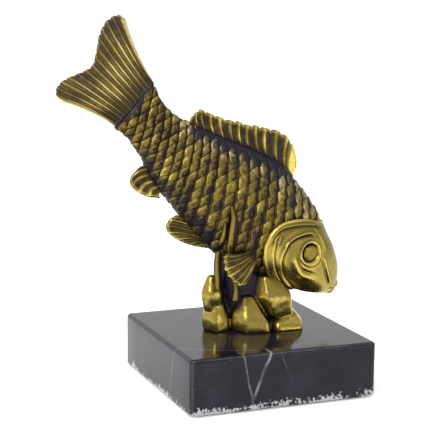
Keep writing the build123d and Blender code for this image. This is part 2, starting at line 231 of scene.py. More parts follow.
def cloud(tree, where, scale, detail):
    """A soft cloud of values about zero."""
    made = add(tree, "ShaderNodeTexNoise", {"Vector": where, "Scale": scale, "Detail": detail})
    return calc(tree, "SUBTRACT", made.outputs[0], 0.5)


def blend(tree, share, first, second):
    """Mixes two colours."""
    return add(tree, "ShaderNodeMix", {0: share, 6: first, 7: second}, data_type="RGBA").outputs[2]


def new_group(name, kind, inputs, outputs):
    """A node group with named inputs, each with its usual value, and what its inputs give."""
    tree = bpy.data.node_groups.new(name, kind)
    for label, (socket, value) in inputs.items():
        made = tree.interface.new_socket(label, in_out="INPUT", socket_type="NodeSocket" + socket)
        if value is not None:
            made.default_value = value
    for label, socket in outputs.items():
        tree.interface.new_socket(label, in_out="OUTPUT", socket_type="NodeSocket" + socket)
    return tree, add(tree, "NodeGroupInput").outputs


def give(tree, *results):
    """Links results to a group's outputs."""
    fill(tree, add(tree, "NodeGroupOutput"), dict(enumerate(results)))


def named_value(tree, name, kind="FLOAT"):
    """A value that the mesh carries, in a Geometry Nodes tree."""
    return add(tree, "GeometryNodeInputNamedAttribute", {"Name": name}, data_type=kind).outputs[0]


def grow(piece, tree, **values):
    """Runs a Geometry Nodes tree on a piece and keeps what it made as plain mesh."""
    modifier = modify(piece, tree.name, "NODES", node_group=tree)
    sockets = {item.name: item.identifier for item in tree.interface.items_tree if item.in_out == "INPUT"}
    for name, value in values.items():
        modifier[sockets[name.replace("_", " ")]] = value
    return settled(piece)


def new_material(name):
    """A material, its node tree and its shader."""
    made = bpy.data.materials.new(name)
    made.use_nodes = True
    return made, made.node_tree, made.node_tree.nodes["Principled BSDF"]


def object_place(tree):
    """The place of the point that is shaded, in metres from the origin."""
    return add(tree, "ShaderNodeTexCoord").outputs["Object"]


# %% [markdown]
# ## The fish's own axes
#
# It is easier to shape the carp in its own axes than in the room's: s runs along the body from
# the root of the tail to the snout, t runs up towards the back, and n runs out of the middle
# plane to the right flank. The box of the fish's solid says where its tail root lies.
#
# A table gives the body's sections. Each row has a station, the height of the back, the depth of
# the belly and the half width, as shares of the body's length, height, depth and half width. The
# back and belly columns were not chosen by hand: a small program fitted them to the outline in
# the photograph. The half widths are guesses, because one picture doesn't show them.

# %% Set the fish's axes
body_length = 148.0
back_height = 27.6
belly_depth = 29.6
flank_width = 15.4
belly_fullness = 0.12
body_pitch = math.radians(41.22)
along_axis = np.array((math.cos(body_pitch), 0, -math.sin(body_pitch)))
up_axis = np.array((math.sin(body_pitch), 0, math.cos(body_pitch)))
side_axis = np.array((0.0, -1.0, 0.0))
fish_axes = np.array((along_axis, up_axis, side_axis))

section_shares = np.array((
    (0.000, 0.529, 0.515, 0.292),
    (0.054, 0.416, 0.511, 0.325),
    (0.122, 0.359, 0.572, 0.429),
    (0.203, 0.454, 0.745, 0.565),
    (0.304, 0.620, 0.850, 0.708),
    (0.419, 0.833, 0.939, 0.844),
    (0.540, 1.000, 1.000, 0.935),
    (0.628, 0.982, 0.993, 0.981),
    (0.702, 0.907, 0.926, 1.000),
    (0.770, 0.809, 0.801, 0.974),
    (0.837, 0.647, 0.683, 0.890),
    (0.905, 0.494, 0.538, 0.740),
    (0.966, 0.276, 0.363, 0.513),
    (1.000, 0.080, 0.236, 0.234),
))
stations = section_shares[:, 0] * body_length

body_low, body_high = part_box("fish_body")
root_back = section_shares[0, 1] * back_height * MM
root_belly = section_shares[0, 2] * belly_depth * MM
tail_root = np.array((body_low[0] + root_belly * up_axis[0], 0, body_high[2] - root_back * up_axis[2]))
print("tail root at", np.round(tail_root / MM, 2), "mm")


def fish_vector(s, t, n):
    """A direction in the fish's own axes, as a direction in the frame."""
    return s * along_axis + t * up_axis + n * side_axis


def place(local):
    """Points in the fish's own axes, in millimetres, as points in the frame, in metres."""
    local = np.asarray(local, float).reshape(-1, 3)
    return tail_root + MM * fish_vector(local[:, :1], local[:, 1:2], local[:, 2:])


def flow(knots, values, at):
    """A smooth curve through the values, read at the given places."""
    knots = np.asarray(knots, float)
    values = np.asarray(values, float)
    slope = np.gradient(values, knots)
    k = np.clip(np.searchsorted(knots, at, side="right") - 1, 0, len(knots) - 2)
    gap = knots[k + 1] - knots[k]
    u = (np.asarray(at, float) - knots[k]) / gap
    return (
        (1 + 2 * u) * (1 - u) ** 2 * values[k] + u * (1 - u) ** 2 * gap * slope[k]
        + u * u * (3 - 2 * u) * values[k + 1] + u * u * (u - 1) * gap * slope[k + 1]
    )


def section(s):
    """Back, belly and half width of the body at a station."""
    back = flow(stations, section_shares[:, 1], s) * back_height
    belly = -flow(stations, section_shares[:, 2], s) * belly_depth
    return back, belly, flow(stations, section_shares[:, 3], s) * flank_width


def section_points(s, angle, shrink=1.0):
    """Points round the body at one station. Angle 0 is the right flank, 90 degrees the back."""
    back, belly, width = section(min(s, body_length))
    level = np.sin(angle)
    t = (back + belly) / 2 + shrink * (back - belly) / 2 * level
    n = shrink * width * np.cos(angle) * (1 - belly_fullness * level)
    return t, n


def flank(s, t):
    """How far the right flank stands out at a station and a height."""
    back, belly, width = section(s)
    level = np.clip((t - (back + belly) / 2) / ((back - belly) / 2), -1, 1)
    return width * np.sqrt(1 - level**2) * (1 - belly_fullness * level)


# %% [markdown]
# ## Lines on the head
#
# A carp's head is a set of plates: the gill cover, the cheek and the ring round the eye. On the
# casting their edges are low steps and grooves. Each edge is drawn once as a short line of
# points over the flank, and the body's skin is raised or lowered by the distance to it.


# %% Draw the head's lines
def curve_through(points, steps=12):
    """A smooth line through a few points, as many short pieces."""
    points = np.asarray(points, float)
    at = np.linspace(0, len(points) - 1, steps * (len(points) - 1) + 1)
    return np.column_stack([flow(np.arange(len(points)), column, at) for column in points.T])


def measure(line, s, t):
    """Distance to a line, positive on its right-hand side, and the share of the way along it."""
    best = np.full(s.shape, np.inf)
    signed = np.zeros(s.shape)
    way = np.zeros(s.shape)
    for k, ((s0, t0), (s1, t1)) in enumerate(zip(line, line[1:])):
        ds, dt = s1 - s0, t1 - t0
        u = np.clip(((s - s0) * ds + (t - t0) * dt) / (ds * ds + dt * dt), 0, 1)
        off = np.hypot(s - s0 - u * ds, t - t0 - u * dt)
        nearer = off < best
        best = np.where(nearer, off, best)
        hand = np.sign((s - s0) * dt - (t - t0) * ds)
        signed = np.where(nearer, off * -hand, signed)
        way = np.where(nearer, (k + u) / (len(line) - 1), way)
    return signed, way


gill_edge = curve_through((
    (121, 24), (116.9, 18.6), (105.8, 12.7), (98.3, 6.4), (94.6, 0.4), (94.3, -7.3), (97.1, -14),
    (103.9, -19.4), (113, -21.3), (123.4, -21.5), (133, -20),
))
gill_rim = curve_through((
    (117.5, 16.8), (107.4, 10.5), (100.2, 4.2), (97.0, -0.5), (96.6, -6), (98.2, -11.5),
))
cover_line = curve_through((
    (98.7, -1.0), (99.4, -5.1), (101.2, -8.6), (104.9, -13.1), (110.8, -16.7), (121.2, -18.4), (131, -17.5),
))
cheek_line = curve_through((
    (117.5, 9.4), (112.2, 7.5), (107.1, 1.3), (106.0, -3.5), (107.2, -8.3), (111, -13.2), (118.3, -16.4),
    (129.8, -17.1), (137, -14.5),
))
brow_line = curve_through(((111, 12.5), (116, 11.6), (122, 9.8), (128, 6.8)))
cheek_swell = curve_through(((110.7, -4.9), (115.1, -7.6), (119.8, -9.5), (124.1, -9.5), (133.5, -5.8)))
snout_ridge = curve_through(((127.4, 4.6), (132.4, 1.4), (138.5, -1.7), (141.5, -2.8)))
mouth_line = curve_through(((152, -1.9), (149.8, -2.3), (147.4, -3.0), (144.3, -4.7), (141.6, -6.4)))
first_ridge = curve_through(((98.7, -1.7), (99.9, -4.3), (100.9, -7.2)))
second_ridge = curve_through(((104.6, -1.2), (105.0, -4.6), (106.8, -8.4)))

# %% [markdown]
# ## Relief of the head
#
# Beside each line lie two or three low forms: a ridge has a positive height and a groove a
# negative one. They fade in and out at the ends of the line, as a sculptor's tool does.

# %% Raise the head's plates
# A line, how fast it fades in and out, then the height, distance from the line and width of each form
short_forms = ((0.36, 0, 0.40), (-0.2, 0.9, 0.4))
head_marks = (
    (gill_rim, 8, 5, ((0.32, 0, 0.55), (-0.30, 1.1, 0.6))),
    (cover_line, 6, 6, ((0.28, -0.8, 0.6), (-0.42, 0, 0.45))),
    (cheek_line, 7, 7, ((0.45, -0.7, 0.7), (-0.55, 0.25, 0.6), (0.22, -3.4, 2.0))),
    (brow_line, 5, 4, ((0.25, 0, 0.7), (-0.25, 1.6, 1.0))),
    (cheek_swell, 4, 4, ((0.65, -0.3, 1.5), (-0.35, 2.0, 0.8))),
    (snout_ridge, 5, 5, ((0.34, 0, 0.55), (-0.25, -1.3, 0.9))),
    (first_ridge, 4, 4, short_forms),
    (second_ridge, 4, 4, short_forms),
)
head_gain = 1.9
head_start = 88.0
cover_step = 0.75
eye_station = 0.809 * body_length
eye_height = 0.040 * back_height
eye_radius = 4.0
socket_gap = 0.75
socket_depth = 0.7
plates_end_radius = 4.6
lid_radius = 5.6
lid_groove_radius = 7.2


def ease(x):
    """A smooth step from 0 to 1."""
    x = np.clip(x, 0, 1)
    return x * x * (3 - 2 * x)


def hump(distance, width):
    """A soft bump, 1 at its middle."""
    return np.exp(-((distance / width) ** 2))


def head_relief(s, t, sideways):
    """How far the head's plates stand out of the plain body, in millimetres."""
    cover, _ = measure(gill_edge, s, t)
    high = cover_step * ease((cover + 0.35) / 0.9)
    high = (high + 0.35 * hump(cover - 1.0, 0.7) - 0.35 * hump(cover + 0.7, 0.6)) * sideways
    for line, ease_in, ease_out, forms in head_marks:
        d, way = measure(line, s, t)
        fade = ease(way * ease_in) * ease((1 - way) * ease_out)
        high = high + fade * sum(height * hump(d - offset, width) for height, offset, width in forms)
    off = np.hypot(s - eye_station, (t - eye_height) * 1.04)
    high = high * head_gain * ease((off - plates_end_radius) / 2.0)
    high = high - socket_depth * ease((eye_radius + socket_gap - off) / 0.5)
    high = high + 0.50 * hump(off - lid_radius, 0.75) - 0.45 * hump(off - lid_groove_radius, 0.55)
    d, way = measure(mouth_line, s, t)
    high = high - 0.65 * hump(d, 0.42) * ease((1 - way) * 3.5)
    high = high + 0.15 * hump(d - 1.3, 0.9) * ease((1 - way) * 3)
    return high * ease((s - head_start) / 5)


# %% [markdown]
# ## The body
#
# The carp's body is one casting from tail root to snout. It could be sculpted by hand, but its
# sections are known, so it is lofted: rings of points at equal steps round the body, closed at
# both ends, then pushed along the normal by the relief of the head. Behind the gill cover the
# skin is sunk a little, because the scales will stand on it.

# %% Build the skin of the body
fine_from = 90.0
coarse_step = 1.1
fine_step = 0.40
around = 300
skin_sink = 0.40
snout_round = 2.4
bare_stations = (34.5, 44.6, 59.7, 74.5, 90.4, 96)
bare_levels = (11.3, 13.9, 18.1, 23.2, 27.2, 34)
many_angles = np.linspace(-math.pi / 2, 1.5 * math.pi, 1441)


def run_length(t, n):
    """The length along a line of points, from its first point."""
    return np.concatenate([[0], np.cumsum(np.hypot(np.diff(t), np.diff(n)))])


def body_ring(s, out=0.0):
    """Evenly spaced points round the body. Past the snout's end the rings close like a dome."""
    length = run_length(*section_points(s, many_angles))
    angle = np.interp(np.linspace(0, length[-1], around, endpoint=False), length, many_angles)
    t, n = section_points(s, angle, math.sqrt(1 - out**2))
    return np.column_stack([np.full(around, s + snout_round * out), t, n])


def middle_of(s):
    """The height of the middle of a section."""
    back, belly, _ = section(s)
    return (back + belly) / 2


ring_stations = [*np.arange(0, fine_from, coarse_step), *np.arange(fine_from, body_length, fine_step)]
grid = [body_ring(s) for s in (*ring_stations, body_length)]
grid += [body_ring(body_length, out) for out in np.sin(np.linspace(0, math.pi / 2, 9)[1:-1])]
grid = np.array(grid)
grid_s = grid[:, :, 0]
grid_t = grid[:, :, 1]
outward = np.cross(np.roll(grid, -1, axis=1) - np.roll(grid, 1, axis=1), np.gradient(grid, axis=0))
outward /= np.linalg.norm(outward, axis=2, keepdims=True)
if ((grid - grid.mean(axis=1, keepdims=True)) * outward).sum() < 0:
    outward = -outward
relief = head_relief(grid_s, grid_t, np.clip(np.abs(outward[:, :, 2]), 0, 1))

cover_distance, _ = measure(gill_edge, grid_s, grid_t)
on_head = (cover_distance > 0) & (grid_s > 93)
over_band = ease((grid_t - np.interp(grid_s, bare_stations, bare_levels)) / 2.5)
bare_back = over_band * ease((grid_s - 27) / 6) * ease((95 - grid_s) / 3)
scaled = ease(grid_s / 4) * (1 - bare_back)
scaled = np.where(grid_s < head_start, scaled, scaled * ease(-cover_distance / 1.2))
relief = relief - skin_sink * scaled

ring_total = len(grid)
skin_faces = ring_faces(ring_total, around)
tail_end = ring_total * around
last_ring = (ring_total - 1) * around
end_faces = []
for j in range(around):
    k = (j + 1) % around
    end_faces.append((j, k, tail_end))
    end_faces.append((last_ring + k, last_ring + j, tail_end + 1))
ends = ((0, middle_of(0), 0), (body_length + snout_round, middle_of(body_length), 0))
skin_points = np.vstack([place(grid + outward * relief[:, :, None]), place(ends)])
body = new_object("carp_body", skin_points, skin_faces + end_faces)
tidy_normals(body)
print("body rings", ring_total, "faces", len(skin_faces + end_faces))

# %% [markdown]
# ## The scales
#
# A carp's scales lie in rows along the body, each row half a step on from the next, so that they
# make a net of slanting diamonds. Placing three hundred by hand would take days. Instead a point
# is worked out for each scale, and a Geometry Nodes tree sets a copy of one cast scale on every
# point, turns it a little, and lays it on the skin, so that it bends with the body.

# %% Place a point for every scale
row_level_stations = (0, 17, 31, 45, 57, 64, 75, 95, 120)
row_levels = (-13.5, -12.0, -11.2, -9.8, -8.2, -6.5, -4.5, -3.5, -3.0)
pitch_stations = (0, 40, 48, 53, 59, 100, 120)
pitches = (4.6, 4.7, 5.0, 5.6, 6.25, 6.25, 6.0)
row_spacing_stations = (0, 30, 45, 65, 120)
row_spacings = (5.1, 5.1, 5.5, 6.1, 6.1)
lean_stations = (0, 10, 30, 40, 60, 90, 120)
leans = (0, 2, 4, 6, 10, 13, 14)
cover_stations = (0, 30, 60, 120)
length_covers = (0.92, 0.92, 0.87, 0.86)
band_stations = (27, 34.5, 44.6, 52.6, 59.7, 68.1, 74.5, 80.3, 90.4, 94)
band_levels = (13, 8.3, 10.9, 13.3, 15.1, 19.5, 21.2, 22.3, 25.7, 40)
band_overlap = 4.6
gill_overlap = 0.9
scale_width_share = 0.95
first_station = 2.2
nape_end = 121.0
edge_gap = 0.5
feel_step = 0.3
half_turn = np.linspace(-math.pi / 2, math.pi / 2, 361)

guide_points = []
guide_out = []
guide_head = []
guide_size = []
s = first_station
column = 0
while s < nape_end:
    pitch = np.interp(s, pitch_stations, pitches)
    spacing = np.interp(s, row_spacing_stations, row_spacings)
    lean = math.radians(np.interp(s, lean_stations, leans))
    scale_length = np.interp(s, cover_stations, length_covers) * 2 * spacing
    t_line, n_line = section_points(s, half_turn)
    length = run_length(t_line, n_line)
    zero = np.interp(0.0, t_line, length)
    level = np.interp(s, row_level_stations, row_levels) + (column % 2) * spacing
    first = level - 2 * spacing * math.floor((level + zero - edge_gap) / (2 * spacing))
    for w in np.arange(first, length[-1] - zero - edge_gap, 2 * spacing):
        t, n, angle = [np.interp(w + zero, length, line) for line in (t_line, n_line, half_turn)]
        cover, _ = measure(gill_edge, np.array([s]), np.array([t]))
        on_band = t > np.interp(s, band_stations, band_levels) + band_overlap
        if (s > fine_from and cover[0] > gill_overlap) or on_band:
            continue
        t_up, n_up = [np.interp(w + zero + feel_step, length, line) for line in (t_line, n_line)]
        t_on, n_on = section_points(s + feel_step, angle)
        upward = np.array((0, t_up - t, n_up - n))
        upward /= np.linalg.norm(upward)
        outside = np.cross(np.array((feel_step, t_on - t, n_on - n)), upward)
        outside /= np.linalg.norm(outside)
        turned = np.cross(upward, outside) * math.cos(lean) + upward * math.sin(lean)
        for side in (1, -1):
            flip = np.array((1, 1, side))
            guide_points.append(np.array((s, t, n)) * flip)
            guide_out.append(outside * flip)
            guide_head.append(turned * flip)
            guide_size.append((scale_width_share * pitch, scale_length, 1.0))
    s += pitch / 2
    column += 1
guides = new_object("scale_guides", place(guide_points), [])
store(guides, "outward", np.array(guide_out) @ fish_axes, "FLOAT_VECTOR")
store(guides, "headward", np.array(guide_head) @ fish_axes, "FLOAT_VECTOR")
store(guides, "size", np.array(guide_size) * MM, "FLOAT_VECTOR")
print("scales", len(guide_points))

# %% [markdown]
# ## One scale
#
# One scale is enough, because every other is a copy. It is a flat diamond one unit long, whose
# points carry two values: how far each stands off the skin, and how bright wear has made it. The
# free edge is a raised lip, and a skirt goes down into the skin, so that no gap shows.

# %% Model one scale
scale_rows = 8
lip_shares = (0.0, 0.07, 0.22, 0.48, 0.78, 1.0)
lip_rises = (0.30, 0.66, 0.62, 0.56, 0.46, 0.15)
lip_polish = (0.45, 1.0, 0.80, 0.55, 0.30, 0.0)
corner_place = -0.04
corner_rise = 0.25
corner_polish = 0.2
scale_skirt = -0.6
pattern_points = []
pattern_rise = []
pattern_polish = []
for i in range(1, scale_rows):
    y = 2 * i / scale_rows - 1
    half = 0.5 * (1 - abs(y) ** 1.35)
    for share, rise, shine in zip(lip_shares, lip_rises, lip_polish):
        pattern_points.append((half * (2 * share - 1), y / 2, 0))
        pattern_rise.append(rise * (1 - 0.35 * abs(y) ** 3))
        pattern_polish.append(shine * (1 - 0.5 * abs(y) ** 3))
columns = len(lip_shares)
low_end = len(pattern_points)
pattern_points += [(corner_place, -0.5, 0), (corner_place, 0.5, 0)]
pattern_rise += [corner_rise] * 2
pattern_polish += [corner_polish] * 2
pattern_faces = []
for i in range(scale_rows - 2):
    for j in range(columns - 1):
        a = i * columns + j
        pattern_faces.append((a, a + 1, a + columns + 1, a + columns))
last_row = (scale_rows - 2) * columns
for j in range(columns - 1):
    pattern_faces.append((low_end, j + 1, j))
    pattern_faces.append((last_row + j, last_row + j + 1, low_end + 1))
rim = [low_end] + [i * columns + columns - 1 for i in range(scale_rows - 1)]
rim += [low_end + 1] + [i * columns for i in reversed(range(scale_rows - 1))]
skirt_start = len(pattern_points)
pattern_points += [pattern_points[k] for k in rim]
pattern_rise += [scale_skirt] * len(rim)
pattern_polish += [0] * len(rim)
for k, a in enumerate(rim):
    after = (k + 1) % len(rim)
    pattern_faces.append((a, skirt_start + k, skirt_start + after, rim[after]))
pattern_faces.append(tuple(reversed(range(skirt_start, len(pattern_points)))))
pattern = new_object("one_scale", pattern_points, pattern_faces)
store(pattern, "rise", np.array(pattern_rise) * MM)
store(pattern, "polish", pattern_polish)
under_skin = new_object("under_skin", place(grid - outward * skin_sink), skin_faces)
store(under_skin, "outward", outward.reshape(-1, 3) @ fish_axes, "FLOAT_VECTOR")
print("one scale has", len(pattern_faces), "faces")

# %% [markdown]
# ## The tree that lays the scales
#
# The tree turns each copy to face outwards and headwards, with a small random turn and size, since
# no two cast scales are alike. Then it drops every point of every copy on the nearest skin and
# lifts it again along the skin's normal by the height that the point carries.

# %% Build the tree that lays the scales
laying, given = new_group("lay_scales", "GeometryNodeTree", {
    "Geometry": ("Geometry", None), "Scale": ("Object", None), "Skin": ("Object", None),
    "Turn spread": ("Float", 0.08), "Size spread": ("Float", 0.06), "Seed": ("Int", 3),
    "Dents": ("Float", 0.0013), "Material": ("Material", None),
}, {"Geometry": "Geometry"})
skin = add(laying, "GeometryNodeObjectInfo", {"Object": given["Skin"]}).outputs["Geometry"]


def chance(seed_step, low, high):
    """A random number for each scale."""
    seed = calc(laying, "ADD", given["Seed"], seed_step) if seed_step else given["Seed"]
    inputs = {2: low, 3: high, "Seed": seed}
    return add(laying, "FunctionNodeRandomValue", inputs, data_type="FLOAT").outputs[1]


def on_skin(value):
    """A value of the skin, at the point nearest to each point of a scale."""
    inputs = {"Mesh": skin, "Value": value}
    return add(laying, "GeometryNodeSampleNearestSurface", inputs, data_type="FLOAT_VECTOR").outputs[0]


out_name = named_value(laying, "outward", "FLOAT_VECTOR")
head_name = named_value(laying, "headward", "FLOAT_VECTOR")
facing = add(laying, "FunctionNodeAxesToRotation", {0: out_name, 1: head_name}).outputs[0]
turning = chance(0, calc(laying, "MULTIPLY", given["Turn spread"], -1.0), given["Turn spread"])
small_turn = add(laying, "FunctionNodeAxisAngleToRotation", {"Axis": (0, 0, 1), "Angle": turning}).outputs[0]
turned = add(laying, "FunctionNodeRotateRotation", {0: facing, 1: small_turn}, rotation_space="LOCAL")
smallest = calc(laying, "SUBTRACT", 1.0, given["Size spread"])
largest = calc(laying, "ADD", 1.0, given["Size spread"])
size_name = named_value(laying, "size", "FLOAT_VECTOR")
copies = add(laying, "GeometryNodeInstanceOnPoints", {
    "Points": given["Geometry"],
    "Instance": add(laying, "GeometryNodeObjectInfo", {"Object": given["Scale"]}).outputs["Geometry"],
    "Rotation": turned.outputs[0],
    "Scale": vector(laying, "SCALE", {0: size_name, "Scale": chance(7, smallest, largest)}),
})
toned = add(laying, "GeometryNodeStoreNamedAttribute", {
    "Geometry": copies.outputs[0], "Name": "tone", "Value": chance(11, 0.0, 1.0),
}, data_type="FLOAT", domain="INSTANCE")
real = add(laying, "GeometryNodeRealizeInstances", {"Geometry": toned.outputs[0]})
dents = add(laying, "ShaderNodeTexNoise", {"Scale": 420.0, "Detail": 2.0}).outputs[0]
dented = calc(laying, "MULTIPLY", calc(laying, "SUBTRACT", dents, 0.5), given["Dents"])
lift = calc(laying, "ADD", named_value(laying, "rise"), dented)
lifted = vector(laying, "SCALE", {0: on_skin(out_name), "Scale": lift})
nearest = on_skin(add(laying, "GeometryNodeInputPosition").outputs[0])
laid = vector(laying, "ADD", {0: nearest, 1: lifted})
moved = add(laying, "GeometryNodeSetPosition", {"Geometry": real.outputs[0], "Position": laid})
look = {"Geometry": moved.outputs[0], "Material": given["Material"]}
give(laying, add(laying, "GeometryNodeSetMaterial", look).outputs[0])

# %% [markdown]
# ## Aged brass
#
# Old cast brass is bright where hands and cloths reach it and brown or purple-black where they
# don't. One flat colour can't show that, and a painted picture would only fit one view. So every
# brass piece carries a value called polish, high on ridges and low in grooves, and one shader
# group turns it into four colours, with clouds of wear and small pits added. In places the polish
# also carries painted shade and painted highlights, and a glint colour paints pale highlights
# where cool brass shines.

# %% Build the group that ages metal
ageing, given = new_group("aged_metal", "ShaderNodeTree", {
    "Place": ("Vector", None), "Polish": ("Float", 0.5), "Tone": ("Float", 0.5), "Cool": ("Float", 0.0),
    "Wear": ("Float", 0.0), "Patchiness": ("Float", 1.0),
    "Recess colour": ("Color", (0.030, 0.021, 0.024, 1)),
    "Patina colour": ("Color", (0.100, 0.072, 0.026, 1)),
    "Metal colour": ("Color", (0.220, 0.165, 0.032, 1)),
    "Bright colour": ("Color", (0.62, 0.475, 0.110, 1)),
    "Cool colour": ("Color", (0.040, 0.036, 0.050, 1)),
    "Glint colour": ("Color", (0.52, 0.43, 0.34, 1)),
}, {"Color": "Color", "Roughness": "Float", "Height": "Float"})
patches = cloud(ageing, given["Place"], 90, 4)
grain = cloud(ageing, given["Place"], 520, 4)
fine = cloud(ageing, given["Place"], 1700, 3)
mottle = calc(ageing, "MULTIPLY_ADD", patches, 1.1, calc(ageing, "MULTIPLY", grain, 1.3))
shine = calc(ageing, "MULTIPLY_ADD", mottle, given["Patchiness"], given["Polish"])
shine = calc(ageing, "MULTIPLY_ADD", calc(ageing, "SUBTRACT", given["Tone"], 0.5), 0.45, shine)
shine = calc(ageing, "ADD", shine, given["Wear"])
tint = blend(ageing, smooth_between(ageing, shine, 0.0, 0.36), given["Recess colour"], given["Patina colour"])
tint = blend(ageing, smooth_between(ageing, shine, 0.28, 0.66), tint, given["Metal colour"])
tint = blend(ageing, smooth_between(ageing, shine, 0.72, 1.25), tint, given["Bright colour"])
# Painted highlight: cool brass that shines turns towards the pale glint colour.
glint = calc(ageing, "MULTIPLY", given["Cool"], smooth_between(ageing, shine, 0.70, 1.05, 0.0, 0.75))
tint = blend(ageing, glint, tint, given["Glint colour"])
coolness = calc(ageing, "MULTIPLY", given["Cool"], smooth_between(ageing, shine, 0.3, 0.8, 1.0, 0.1))
tint = blend(ageing, coolness, tint, given["Cool colour"])
rough = calc(ageing, "MULTIPLY_ADD", fine, 0.12, smooth_between(ageing, shine, 0.1, 1.0, 0.52, 0.27))
pits = smooth_between(ageing, fine, 0.10, 0.24)
give(ageing, tint, rough, calc(ageing, "SUBTRACT", calc(ageing, "MULTIPLY_ADD", grain, 1.6, fine), pits))

# %% [markdown]
# ## Four kinds of brass
#
# The body and the rocks have been rubbed most and the scales least, so the group gets its own
# wear, patchiness and strength of dents for each of them.


# %% Make the brass materials
def aged_brass(name, wear, patchiness, bump):
    """Brass whose colour follows the values that its piece carries."""
    made, tree, shader = new_material(name)
    inputs = {key: add(tree, "ShaderNodeAttribute", attribute_name=key.lower()).outputs["Fac"]
              for key in ("Polish", "Tone", "Cool")}
    inputs.update({"Place": object_place(tree), "Wear": wear, "Patchiness": patchiness})
    aged = add(tree, "ShaderNodeGroup", node_tree=ageing)
    fill(tree, aged, inputs)
    dents = {"Height": aged.outputs["Height"], "Strength": bump, "Distance": 0.4 * MM}
    fill(tree, shader, {
        "Base Color": aged.outputs["Color"], "Roughness": aged.outputs["Roughness"], "Metallic": 1.0,
        "Normal": add(tree, "ShaderNodeBump", dents).outputs["Normal"],
    })
    return made


brass = aged_brass("brass_body", 0.16, 0.20, 0.12)
brass_scales = aged_brass("brass_scales", -0.14, 1.1, 0.9)
brass_fins = aged_brass("brass_fins", 0.06, 0.35, 0.25)
brass_rocks = aged_brass("brass_rocks", 0.14, 0.12, 0.05)

# %% [markdown]
# ## Wear and painted light on the fish
#
# Now the scales can be laid. The casting is darker and cooler under the dorsal fin and at the seam
# of the tail, and brighter on the plates of the head, where a cloth reaches. The belly is painted
# darker and cooler as shade, the upper flank, the nape and a patch of the flank get painted
# highlights, and the head is painted lighter underneath and darker on top.

# %% Lay the scales, wear the brass and paint light and shade on it
scales = grow(guides, laying, Scale=pattern, Skin=under_skin, Material=brass_scales)
scales.name = "carp_scales"
for spare in (pattern, under_skin):
    bpy.data.objects.remove(spare)


def blurred(values, reach):
    """Averages a grid over its neighbours: along the body with ends held, round it in a ring."""
    for _ in range(reach):
        values = (np.roll(values, 1, 1) + values + np.roll(values, -1, 1)) / 3
        long = np.vstack([values[:1], values, values[-1:]])
        values = (long[:-2] + long[1:-1] + long[2:]) / 3
    return values


def patina_and_painted_light(piece):
    """Each point's station, and how much darker and cooler the brass is there."""
    s, t, _ = ((read(piece.data.vertices, "co") - tail_root) / MM @ fish_axes.T).T
    back, belly, _ = section(np.clip(s, 0, body_length))
    level = (t - belly) / (back - belly)
    line = np.interp(s, band_stations, band_levels)
    under_band = ease((t - line + 5) / 9) * ease((s - 22) / 8) * ease((97 - s) / 8)
    # Painted shade: the belly is darker and cooler.
    low = ease((0.24 - level) / 0.24) * ease((s - 12) / 12)
    # Painted highlight: the upper flank is brighter, with pale glints where it shines, and cooler elsewhere.
    high = ease((level - 0.62) / 0.3) * ease((s - 18) / 10) * ease((112 - s) / 12)
    seam = ease((3.2 - s) / 3.2)
    # Painted highlight: the nape is brighter.
    painted_nape_highlight = hump(s - 112, 12) * ease((level - 0.4) / 0.3)
    # Painted highlight: a patch of pale glints on the flank.
    glinting = hump(s - 58, 15) * hump(t - 11, 7)
    darker = -0.25 * glinting + 0.62 * under_band + 0.42 * low - 0.24 * high + 0.45 * seam - 0.35 * painted_nape_highlight
    cooler = np.clip(0.95 * under_band + 0.85 * high + 0.35 * low + 0.6 * seam, 0, 1)
    return s, darker, cooler * ease((126 - s) / 10)


plain_head_shine = 0.76
plain_skin_shine = 0.04
end_shines = (0.3, 0.7)
# Painted light and shade: the underside of the head is painted lighter and its top darker.
painted_jaw_light = 0.45 * ease((-2 - grid_t) / 12) - 0.16 * ease((grid_t - 6) / 8)
cheek_shine = 0.30 * ease((grid_s - 112) / 8) - 0.34
head_shine = plain_head_shine + 0.85 * (relief - blurred(relief, 9)) + painted_jaw_light + cheek_shine
body_shine = np.concatenate([np.where(on_head, head_shine, plain_skin_shine).ravel(), end_shines])
s, darker, cooler = patina_and_painted_light(body)
store(body, "polish", np.clip(body_shine - 0.5 * darker * (s < 96), -0.4, 1.3))
store(body, "cool", cooler)
s, darker, cooler = patina_and_painted_light(scales)
scale_shine = np.empty(len(s), np.float32)
scales.data.attributes["polish"].data.foreach_get("value", scale_shine)
store(scales, "polish", np.clip(scale_shine - darker, 0, 1))
store(scales, "cool", cooler)
keep(body, brass, "brass_body", "fish_body")
keep(scales, brass_scales, "brass_body", "fish_body")

# %% [markdown]
# ## The fins
#
# Every fin is a thin cast blade with rays that fan out from its root. One helper makes a closed
# two-sided blank from a list of rays, each with a foot and a tip, and one Geometry Nodes tree
# raises the rays on it, so six fins share one construction.

# %% Helper for fin blanks
points_per_ray = 14


